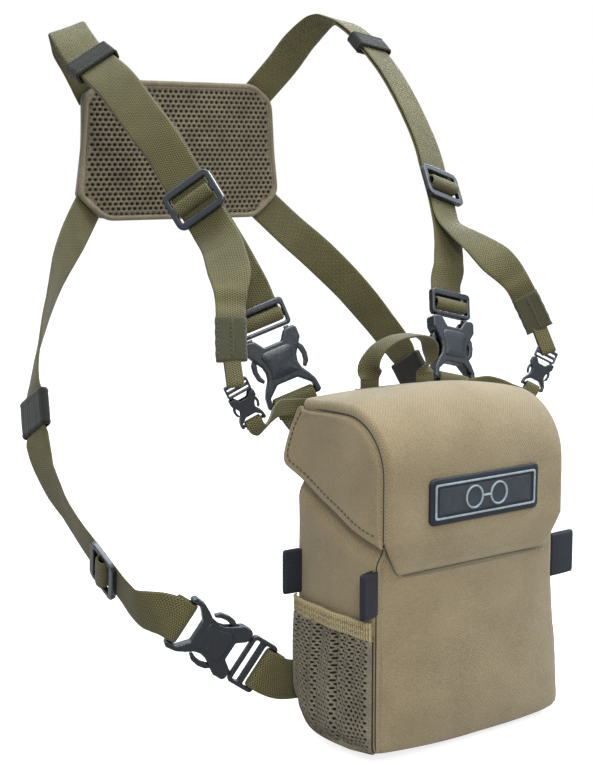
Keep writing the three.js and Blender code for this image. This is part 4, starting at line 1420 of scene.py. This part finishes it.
def straps(word, side):
    pad = (side * 72, 260, 330)
    shoulder_tape(word, pad)
    tape("buckle_tape_" + word, "buckle_strap_" + word, (side * 110, 214, 408))
    tape("lower_tape_" + word, "lower_strap_" + word, pad, tuck=UNDER_PAD)
    tape("shoulder_tab_tape_" + word, "shoulder_tab_" + word, (side * 70, 58, 200), step=1.0)
    tape("lower_tab_tape_" + word, "lower_tab_" + word, (side * 100, 50, 40), step=1.0)
    tab = tape("tether_tab_tape_" + word, "tether_tab_" + word, (side * 115, 25, 180), THIN_TAPE, 0.8)
    bar = bar_of("tether_buckle_female_" + word)
    end_loop("tether_tab_loop_" + word, tab.at[0], tab.w[0], bar, 9.0)
    for name in ("shoulder_triglide_", "lower_triglide_"):
        node = name + word + "_wrap"
        run = Run(strap_stations(node, (0, 0, 0)), 0.5)
        tape_along(run, name + word + "_tape", stands_for=(node,), body=name + word)


def shoulder_tape(word, pad):
    """The upper strap, gathered in towards the sleeve that holds the narrow tether webbing."""
    node = "shoulder_strap_" + word
    run = Run(tucked(strap_stations(node, pad), UNDER_PAD), 1.6)
    sleeve = run.along[(run.width < 22.5) & (run.width > 15)]
    first, last = sleeve[0] - 1.0, sleeve[-1] + 1.5
    gathered = 24.8 - 8.0 * smoothstep(first - 34, first - 4, run.along)
    run.width = np.where(run.along > last - 2, run.width, np.minimum(gathered, run.width))
    upper = run.part(0, last - 3)
    pucker = 0.9 * smoothstep(first - 26, first - 4, upper.along) * np.sin(upper.along / 2.6)
    upper.at = upper.at + pucker[:, None] * upper.n
    tape_along(upper, "shoulder_tape_" + word, stands_for=(node,))
    stretch = run.part(first, last)
    stretch.width = np.full(len(stretch.at), 17.6) + 0.3 * np.sin(stretch.along)
    tape_along(stretch, "tether_sleeve_" + word, 3.4, material=SLEEVE, ribs=0, count=25)
    for sign, face in ((1, "front"), (-1, "back")):
        normals = sign * stretch.n
        for offset, label, out in ((0.0, "seam", 1.78), (-7.4, "edge_a", 1.7), (7.4, "edge_b", 1.7)):
            path = stretch.at + offset * stretch.w + out * normals
            stitches(f"sleeve_{label}_{face}_{word}", path[1:-1], normals[1:-1], OLIVE_THREAD, ROOT,
                     2.6, 1.9, 0.3)
        ridge = stretch.at[1:-1] + 0.9 * stretch.w[1:-1] + 1.65 * normals[1:-1]
        tube(f"sleeve_ridge_{face}_{word}", ridge, 0.42, SLEEVE, ROOT)
    bar = bar_of("tether_buckle_male_" + word)
    end_loop("tether_loop_" + word, stretch.at[-2], run.w[-1], bar, 9.6)


def bar_of(node):
    """Middle of the bar at the outer end of one half of a little tether buckle."""
    points = node_points(node)[0]
    partner = node.replace("female", "male") if "female" in node else node.replace("male", "female")
    other = node_points(partner)[0]
    away = unit(points.mean(axis=0) - other.mean(axis=0))
    reach = points @ away
    tip = points[reach > reach.max() - 1.6]
    return (tip.max(axis=0) + tip.min(axis=0)) / 2


def end_loop(name, start, across, bar, width):
    """Narrow webbing that runs down to a buckle's bar, round it and back."""
    start, bar = np.asarray(start, float), np.asarray(bar, float)
    along = unit(bar - start)
    across = unit(across - (across @ along) * along)
    out = np.cross(along, across)
    turn = 1.5
    tip = bar + 0.4 * along
    path = [start + 0.7 * out, start + 0.35 * (tip - start) + 1.1 * out, tip - 1.6 * along + turn * out]
    for angle in np.radians((0, 35, 70, 110, 145, 180)):
        path.append(tip + turn * (math.sin(angle) * along + math.cos(angle) * out))
    path += [tip - 1.6 * along - turn * out, start + 0.35 * (tip - start) - 1.1 * out, start - 0.7 * out]
    tape_along(flat_run(path, across, width, 0.7), name, THIN_TAPE, ribs=5, count=19)


def node_axes(node, along_hint):
    """Centre and across, along and out directions of a flat CAD node, with its sizes along them."""
    points = node_points(node)[0]
    centre = (points.max(axis=0) + points.min(axis=0)) / 2
    along = unit(along_hint)
    flat = points - points.mean(axis=0)
    flat = flat - np.outer(flat @ along, along)
    across = unit(np.linalg.svd(flat, full_matrices=False)[2][0])
    out = unit(np.cross(along, across))
    spans = []
    for axis in (across, along, out):
        reach = points @ axis
        spans.append(np.ptp(reach))
        centre = centre + axis * ((reach.max() + reach.min()) / 2 - centre @ axis)
    return centre, across, along, out, spans


def joint(name):
    return next(j for j in frame["joints"] if j["name"] == name)


def keeper(node):
    """An elastic tube round a strap, with lengthwise ribs and a rolled lip at each end."""
    centre, across, along, out, (width, length, height) = node_axes(node, joint(node + "_slide")["axis"])
    wall = 0.95
    lip = 0.35
    rib_pitch = 1.5
    corner = min(height / 2, 2.2) - 0.05
    rings = []
    for share in np.linspace(-1, 1, 15):
        end = smoothstep(0.72, 1.0, abs(share))
        puff = lip * math.sin(math.pi * min(1.0, end)) + 0.25 * (1 - share**2)
        rings.append((share * length / 2, puff - wall * 0.35 * (end > 0.99)))
    outline = corner_arcs(width / 2, height / 2, corner, 5)
    dense = []
    for i, (cx, cz, ox, oz) in enumerate(outline):
        nx, nz, px, pz = outline[(i + 1) % len(outline)]
        a = np.array((cx + corner * ox, cz + corner * oz))
        b = np.array((nx + corner * px, nz + corner * pz))
        parts = max(1, int(math.dist(a, b) / 0.9))
        for k in range(parts):
            facing = unit((ox, oz)) if k == 0 else unit((ox + px, oz + pz))
            dense.append((*(a + (b - a) * k / parts), *facing))
    columns = len(dense)
    points, uv = [], []
    for depth, flip in ((0.0, 1), (wall, -1)):
        for place, puff in rings[::flip]:
            for k, (a, b, oa, ob) in enumerate(dense):
                rib = 0.1 * math.cos(2 * math.pi * a / rib_pitch)
                reach = (max(puff, 0.0) if depth else puff) + rib - depth
                spot = centre + (a + reach * oa) * across + (b + reach * ob) * out + place * along
                points.append(spot)
                uv.append((a, place))
    rows = 2 * len(rings)
    faces = grid_faces(rows, columns, closed=True)
    last = (rows - 1) * columns
    faces += [(last + k, last + (k + 1) % columns, (k + 1) % columns, k) for k in range(columns)]
    made = piece(node.replace("_keeper", "_elastic"), points, faces, KEEPER, node, (node,), uv)
    clean(made, 0.001)


# ---------------------------------------------------------------- moulded hardware

def remeshed_copy(name, nodes, voxel, passes):
    """A copy of CAD nodes in one skin, with every edge rounded off as a moulding's is."""
    work = bmesh.new()
    for node in nodes:
        work.from_mesh(frame["nodes"][node].data)
    bmesh.ops.remove_doubles(work, verts=work.verts, dist=1e-6)
    bmesh.ops.scale(work, vec=(1 / MM, 1 / MM, 1 / MM), verts=work.verts)
    mesh = bpy.data.meshes.new(name)
    work.to_mesh(mesh)
    work.free()
    made = bpy.data.objects.new(name, mesh)
    bpy.context.scene.collection.objects.link(made)
    remesh = made.modifiers.new("skin", "REMESH")
    remesh.mode = "VOXEL"
    remesh.voxel_size = voxel
    smooth = made.modifiers.new("soften", "SMOOTH")
    smooth.factor = 0.5
    smooth.iterations = passes
    apply_modifiers(made)
    made.data.transform(Matrix.Scale(MM, 4))
    made.data.polygons.foreach_set("use_smooth", [True] * len(made.data.polygons))
    return made


def moulding(node, body, voxel=0.45, passes=3):
    name = node.replace("_female", "_socket").replace("_male", "_plug").replace("_arm", "_latch")
    if name == node:
        name = node + "_frame"
    made = remeshed_copy(name, [node], voxel, passes)
    dress(made, PLASTIC, body, (node,))
    return made


def buckle_frame(prefix):
    """Local frame of a side-release buckle: x across, y towards the plug, z outwards."""
    a, b = joint(prefix + "_arm_a_press"), joint(prefix + "_arm_b_press")
    pa, pb = np.array(a["pos_m"]), np.array(b["pos_m"])
    w = unit(pa - pb)
    n = -unit(a["axis"])
    t = np.cross(w, n)
    return frame_matrix(w, -t, n, (pa + pb) / 2 + 12.6 * MM * t)


def raised_panel(name, outline, low, high, matrix, body):
    """A low boss on a buckle's face: an outline with a sloping edge and a flat top."""
    outline = np.asarray(outline, float)
    centre = outline.mean(axis=0)
    smooth = []
    for i, here in enumerate(outline):
        before, after = outline[i - 1], outline[(i + 1) % len(outline)]
        smooth += bend(here + 0.3 * (before - here), here, here + 0.3 * (after - here), 5)
    smooth = np.array(smooth)
    rings = []
    slope = ((1.0, low), (1.0, high - 0.25), (0.965, high - 0.06))
    crown = ((0.92, high), (0.45, high + 0.05), (0.03, high + 0.06))
    for share, z in slope + crown:
        rings.append([(u * MM, v * MM, z * MM) for u, v in centre + (smooth - centre) * share])
    points = [matrix @ Vector(p) for ring in rings for p in ring]
    faces = grid_faces(len(rings), len(smooth), closed=True)
    last = (len(rings) - 1) * len(smooth)
    faces.append(tuple(last + i for i in range(len(smooth))))
    faces.append(tuple(range(len(smooth)))[::-1])
    made = piece(name, np.array([tuple(p) for p in points]) / MM, faces, PLASTIC, body, ())
    clean(made, 0.001)


def buckles(word):
    for prefix in ("shoulder_buckle_" + word, "lower_buckle_" + word):
        moulding(prefix + "_female", ROOT, 0.5)
        moulding(prefix + "_male", ROOT, 0.45)
        for arm in "ab":
            moulding(f"{prefix}_arm_{arm}", f"{prefix}_arm_{arm}", 0.4)
        matrix = buckle_frame(prefix)
        right = [(7.5, 3.0), (9.5, 0.5), (7.6, -6), (7.2, -11), (8.4, -14)]
        shield = [(-7.5, 3.0), *right, *((-x, y) for x, y in right[:0:-1])]
        raised_panel(prefix + "_boss_front", shield, 3.4, 4.3, matrix, ROOT)
        back = matrix @ Matrix.Rotation(math.pi, 4, "Y")
        raised_panel(prefix + "_boss_back", shield, 3.4, 4.3, back, ROOT)
    for part in ("female", "male"):
        moulding(f"tether_buckle_{part}_{word}", ROOT, 0.28, 2)
    for name in ("shoulder_triglide_", "lower_triglide_"):
        moulding(name + word, name + word, 0.42)


# ---------------------------------------------------------------- back pad

def pad_half(z, low, high):
    """Half the pad's width at a height: chamfered corners and slightly hollow sides."""
    heights = (low, low + 16, low + 48, high - 11, high)
    halves = (63.0, 83.0, 79.0, 77.5, 62.0)
    straight = np.interp(z, heights, halves)
    hollow = 1.2 * math.sin(math.pi * min(max((z - heights[1]) / (heights[3] - heights[1]), 0), 1))
    return straight - hollow * 0.6


def pad_sag(x, z):
    """The pad bows gently towards the wearer's shoulders."""
    return 1.2 * math.cos(math.pi * x / 180) + 0.6 * wobble((x, 0, z), 40.0, 2.0)


def back_pad():
    low, high = box_mm("pad_face")
    face, bottom, top = low[1], low[2], high[2]
    middle = (bottom + top) / 2
    rim = 2.4

    def place(x, z, inwards):
        return (x, face + 1.6 - pad_sag(x, z) + inwards, z)

    def reach(z):
        half = pad_half(z, bottom, top) - rim
        return (-half, half)

    cell, hole, depth = (4.3, 3.3), (1.6, 1.16), 1.1
    made = perforated_sheet(
        "pad_mesh", place, reach, bottom + rim, top - rim,
        cell, hole, depth, SPACER, ("pad_face",),
    )
    orient_towards(made, (0, -1, 0))
    pad_core(bottom, top, face)
    pad_edge(bottom, top, middle, face)


def pad_core(bottom, top, face):
    """The pad's dark filling with its quilted cloth back."""
    back = box_mm("back_pad")[1][1]
    heights = np.linspace(bottom + 1.2, top - 1.2, 40)
    across = np.linspace(-1, 1, 61)
    points = []
    for depth, quilted in ((face + 2.7, 0.0), (back - 0.6, 1.1)):
        for z in heights:
            half = pad_half(z, bottom, top) - 1.0
            for a in across:
                quilt = quilted * (1 - a**6) * math.sin(math.pi * (z - bottom) / (top - bottom)) ** 0.5
                points.append((half * a, depth - pad_sag(half * a, z) + quilt, z))
    points = np.array(points)
    rows, columns = len(heights), len(across)
    front = grid_faces(rows, columns)
    shift = rows * columns
    faces = list(front) + [tuple(shift + i for i in f)[::-1] for f in front]
    edge = [r * columns for r in range(rows)]
    border = edge + [(rows - 1) * columns + c for c in range(1, columns)]
    border += [r * columns + columns - 1 for r in range(rows - 2, -1, -1)]
    border += list(range(columns - 2, 0, -1))
    for before, here in zip([border[-1], *border], border):
        faces.append((here, before, shift + before, shift + here))
    uv = [(p[0], p[2]) for p in points]
    clean(piece("pad_cloth", points, faces, PAD_CLOTH, ROOT, ("back_pad",), uv), 0.001)
    dark_sheet = points[:shift].copy()
    dark_sheet[:, 1] -= 0.35
    made = piece("pad_backing", dark_sheet, front, PAD_BACKING, ROOT, (), uv[:shift])
    orient_towards(made, (0, -1, 0))


def pad_edge(bottom, top, middle, face):
    """The rolled binding round the pad's edge and the stitching inside it."""
    right = [(62, top), (77.5, top - 11), (79.6, middle), (83, bottom + 16), (63, bottom)]
    corners = [(-62, top), *right, *((-x, z) for x, z in right[:0:-1])]
    loop = rounded_loop(corners, 1.6, 6.0)
    path = [(x * 0.982, face + 2.3 - pad_sag(x, z), middle + (z - middle) * 0.972) for x, z in loop]
    tube("pad_binding", path, 1.75, SPACER, ROOT, True, 1.1, 10)
    inner = [(x * 0.94, face + 1.2 - pad_sag(x, z), middle + (z - middle) * 0.905) for x, z in loop]
    inner.append(inner[0])
    stitches("pad_stitches", inner, (0, -1, 0), TAN_THREAD, ROOT, 3.4, 2.3, 0.32)


def rounded_loop(corners, step, radius):
    """A closed line round corners, with each corner rounded off."""
    corners = np.array(corners, float)
    sides = [math.dist(corners[i - 1], here) for i, here in enumerate(corners)]
    cuts = [min(radius, 0.45 * side, 0.45 * after) for side, after in zip(sides, [*sides[1:], sides[0]])]
    made = []
    for i, here in enumerate(corners):
        j = (i + 1) % len(corners)
        before, after = corners[i - 1], corners[j]
        a = here + cuts[i] * unit(before - here)
        b = here + cuts[i] * unit(after - here)
        made += bend(a, here, b, 6)
        end = after + cuts[j] * unit(here - after)
        count = int(math.dist(b, end) / step)
        made += [b + (end - b) * k / count for k in range(1, count)]
    return made


# ---------------------------------------------------------------- handle and magnets

def handle():
    run = Run(strap_stations("grab_handle", (-20, 38, 190)), 1.0)
    tape_along(run, "handle_tape", 1.6, ("grab_handle",), body="handle")
    low, high = box_mm("handle_anchor")
    middle, half = (low[0] + high[0]) / 2, (high[0] - low[0]) / 2
    y = (low[1] + high[1]) / 2
    shoulder = high[2] - 9.0
    upright = [("handle_base_tape", middle, low[2], shoulder, 2 * half, 61, ("handle_anchor",))]
    for word, end in (("left", run.at[0]), ("right", run.at[-1])):
        name = "handle_leg_tape_" + word
        upright.append((name, end[0], shoulder - 1.0, end[2] + 0.4, run.width[0], 29, ()))
    for name, x, bottom, top, wide, count, stands_for in upright:
        path = [(x, y, z) for z in np.linspace(bottom, top, 14)]
        tape_along(flat_run(path, (1.0, 0.0, 0.0), wide, 1.0), name, TAPE, stands_for, count=count)
    box = [(middle - half + 3, y + 0.85, low[2] + 3), (middle + half - 3, y + 0.85, low[2] + 3),
           (middle + half - 3, y + 0.85, shoulder - 3), (middle - half + 3, y + 0.85, shoulder - 3)]
    box.append(box[0])
    dense = np.concatenate([np.linspace(a, b, 20) for a, b in zip(box, box[1:])])
    stitches("handle_stitches", dense, (0, 1, 0), OLIVE_THREAD, ROOT, 3.0, 2.0, 0.3)


def magnets():
    """The bare magnets keep their CAD shape. The lid's one is sewn in under a small cloth cover."""
    for node in ("pouch_magnet", "lid_magnet"):
        made = frame["nodes"][node]
        made.data.materials.clear()
        made.data.materials.append(STEEL)
    low, high = box_mm("lid_magnet")
    margin, back_margin, cover = 4.0, 0.6, 0.3
    seam_height = high[2] + 0.8
    xs = np.linspace(low[0] - margin, high[0] + margin, 41)
    ys = np.linspace(low[1] - margin, high[1] + back_margin, 17)
    points, uv = [], []
    for y in ys:
        for x in xs:
            edge_x = min(x - xs[0], xs[-1] - x) / margin
            edge_y = min((y - ys[0]) / margin, (ys[-1] - y) / back_margin)
            share = smoothstep(0, 0.9, min(edge_x, edge_y))
            points.append((x, y, seam_height - share * (seam_height - low[2] + cover)))
            uv.append((x, y))
    made = piece("magnet_cover", points, grid_faces(len(ys), len(xs)), LINING, "lid", (), uv)
    orient_towards(made, (0, 0, -1))
    thicken(made, cover, 1.0)


# ---------------------------------------------------------------- studio

def by_ray(tree, kind, chosen, other):
    """A shader that rays of one kind see as chosen and all the rest see as other."""
    mix = tree.nodes.new("ShaderNodeMixShader")
    path = tree.nodes.new("ShaderNodeLightPath")
    tree.links.new(path.outputs[kind], mix.inputs[0])
    tree.links.new(other, mix.inputs[1])
    tree.links.new(chosen, mix.inputs[2])
    return mix.outputs[0]


def reflected_ceiling(tree):
    """A pale ceiling that only shows in glossy surfaces turned upwards."""
    coordinates = tree.nodes.new("ShaderNodeTexCoord")
    parts = tree.nodes.new("ShaderNodeSeparateXYZ")
    grade = tree.nodes.new("ShaderNodeMapRange")
    ceiling = tree.nodes.new("ShaderNodeBackground")
    tree.links.new(coordinates.outputs["Generated"], parts.inputs[0])
    tree.links.new(parts.outputs["Z"], grade.inputs["Value"])
    for field, value in (("From Min", 0.15), ("From Max", 0.75), ("To Min", 0.35), ("To Max", 3.6)):
        grade.inputs[field].default_value = value
    tree.links.new(grade.outputs[0], ceiling.inputs[1])
    ceiling.inputs[0].default_value = (0.82, 0.91, 1.0, 1.0)
    return ceiling.outputs[0]


def paper_floor():
    """A floor that the camera sees evenly pale and that looks plain grey to everything else."""
    mesh = bpy.data.meshes.new("floor")
    reach = 6.0
    corners = [(-reach, -reach, 0), (reach, -reach, 0), (reach, reach, 0), (-reach, reach, 0)]
    mesh.from_pydata(corners, [], [(0, 1, 2, 3)])
    floor = bpy.data.objects.new("floor", mesh)
    bpy.context.scene.collection.objects.link(floor)
    floor.location.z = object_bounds()[0][2] - 0.0005
    paper = Shader("floor_paper", roughness=0.9, specular=0.1)
    paper.colour((0.5, 0.5, 0.5))
    glow = paper.nodes.new("ShaderNodeEmission")
    glow.inputs[1].default_value = 0.8
    both = paper.nodes.new("ShaderNodeAddShader")
    paper.links.new(paper.base.outputs[0], both.inputs[0])
    paper.links.new(glow.outputs[0], both.inputs[1])
    seen = by_ray(paper.material.node_tree, "Is Camera Ray", both.outputs[0], paper.base.outputs[0])
    paper.links.new(seen, paper.nodes["Material Output"].inputs[0])
    mesh.materials.append(paper.material)
    floor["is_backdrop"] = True


def surroundings():
    """A white background, soft light from all round and a ceiling for the glossy parts to reflect."""
    world = bpy.data.worlds.new("studio")
    bpy.context.scene.world = world
    world.use_nodes = True
    tree = world.node_tree
    ambient = tree.nodes["Background"]
    ambient.inputs[0].default_value = (0.97, 0.985, 1.0, 1.0)
    ambient.inputs[1].default_value = 0.46
    white = tree.nodes.new("ShaderNodeBackground")
    white.inputs[0].default_value = (1.0, 1.0, 1.0, 1.0)
    white.inputs[1].default_value = 1.0
    lit = by_ray(tree, "Is Glossy Ray", reflected_ceiling(tree), ambient.outputs[0])
    shown = by_ray(tree, "Is Camera Ray", white.outputs[0], lit)
    tree.links.new(shown, tree.nodes["World Output"].inputs[0])


def softbox(name, place, target, size, power, colour):
    light = bpy.data.lights.new(name, "AREA")
    light.shape = "SQUARE"
    light.size = size
    light.energy = power
    light.color = colour
    lamp = bpy.data.objects.new(name, light)
    bpy.context.scene.collection.objects.link(lamp)
    lamp.location = place
    lamp.rotation_euler = (Vector(target) - Vector(place)).to_track_quat("-Z", "Y").to_euler()


def studio():
    bpy.context.scene.view_settings.view_transform = "Standard"
    paper_floor()
    surroundings()
    neutral, cool = (1.0, 1.0, 1.0), (0.88, 0.95, 1.0)
    softbox("key", (-1.0, -1.35, 1.15), (0, 0.05, 0.15), 0.6, 14, neutral)
    softbox("fill", (1.3, -1.45, 0.15), (-0.05, 0.05, 0.3), 0.55, 2, cool)
    softbox("top", (0.1, 0.1, 1.6), (0, 0.05, 0.15), 0.8, 14, (0.9, 0.96, 1.0))
    softbox("gloss", (0.85, -0.45, 1.35), (-0.05, 0.1, 0.3), 0.7, 10, cool)
    softbox("rim", (1.2, 0.9, 0.9), (0, 0.05, 0.2), 0.6, 8, neutral)


def camera():
    """From 38 degrees round to the left of the front and 8 degrees above."""
    turn, tilt = math.radians(38.0), math.radians(8.0)
    lens = bpy.data.cameras.new("camera")
    lens.sensor_fit = "VERTICAL"
    lens.sensor_height = 36.0
    lens.lens = 75.3
    lens.clip_start = 0.01
    seen = bpy.data.objects.new("camera", lens)
    bpy.context.scene.collection.objects.link(seen)
    forward = Vector((math.sin(turn) * math.cos(tilt), math.cos(turn) * math.cos(tilt), -math.sin(tilt)))
    right = Vector((math.cos(turn), -math.sin(turn), 0))
    up = right.cross(forward)
    seen.matrix_world = frame_matrix(right, up, -forward, (-0.6266, -0.6741, 0.3237))
    bpy.context.scene.camera = seen


# ---------------------------------------------------------------- assembly

body_points, body_places, body_rows = pouch_body()
pouch_lining()
rim_binding(body_points, body_places, body_rows)
vertical_seams(body_points, body_places, body_rows)
lid()
hinge_fold()
badge()
for word, side in SIDES:
    pocket(word, side)
    side_loop(word, side, "front")
    side_loop(word, side, "rear")
    straps(word, side)
    for name in ("shoulder_keeper_", "lower_keeper_"):
        keeper(name + word)
    buckles(word)
back_pad()
handle()
magnets()
studio()
camera()
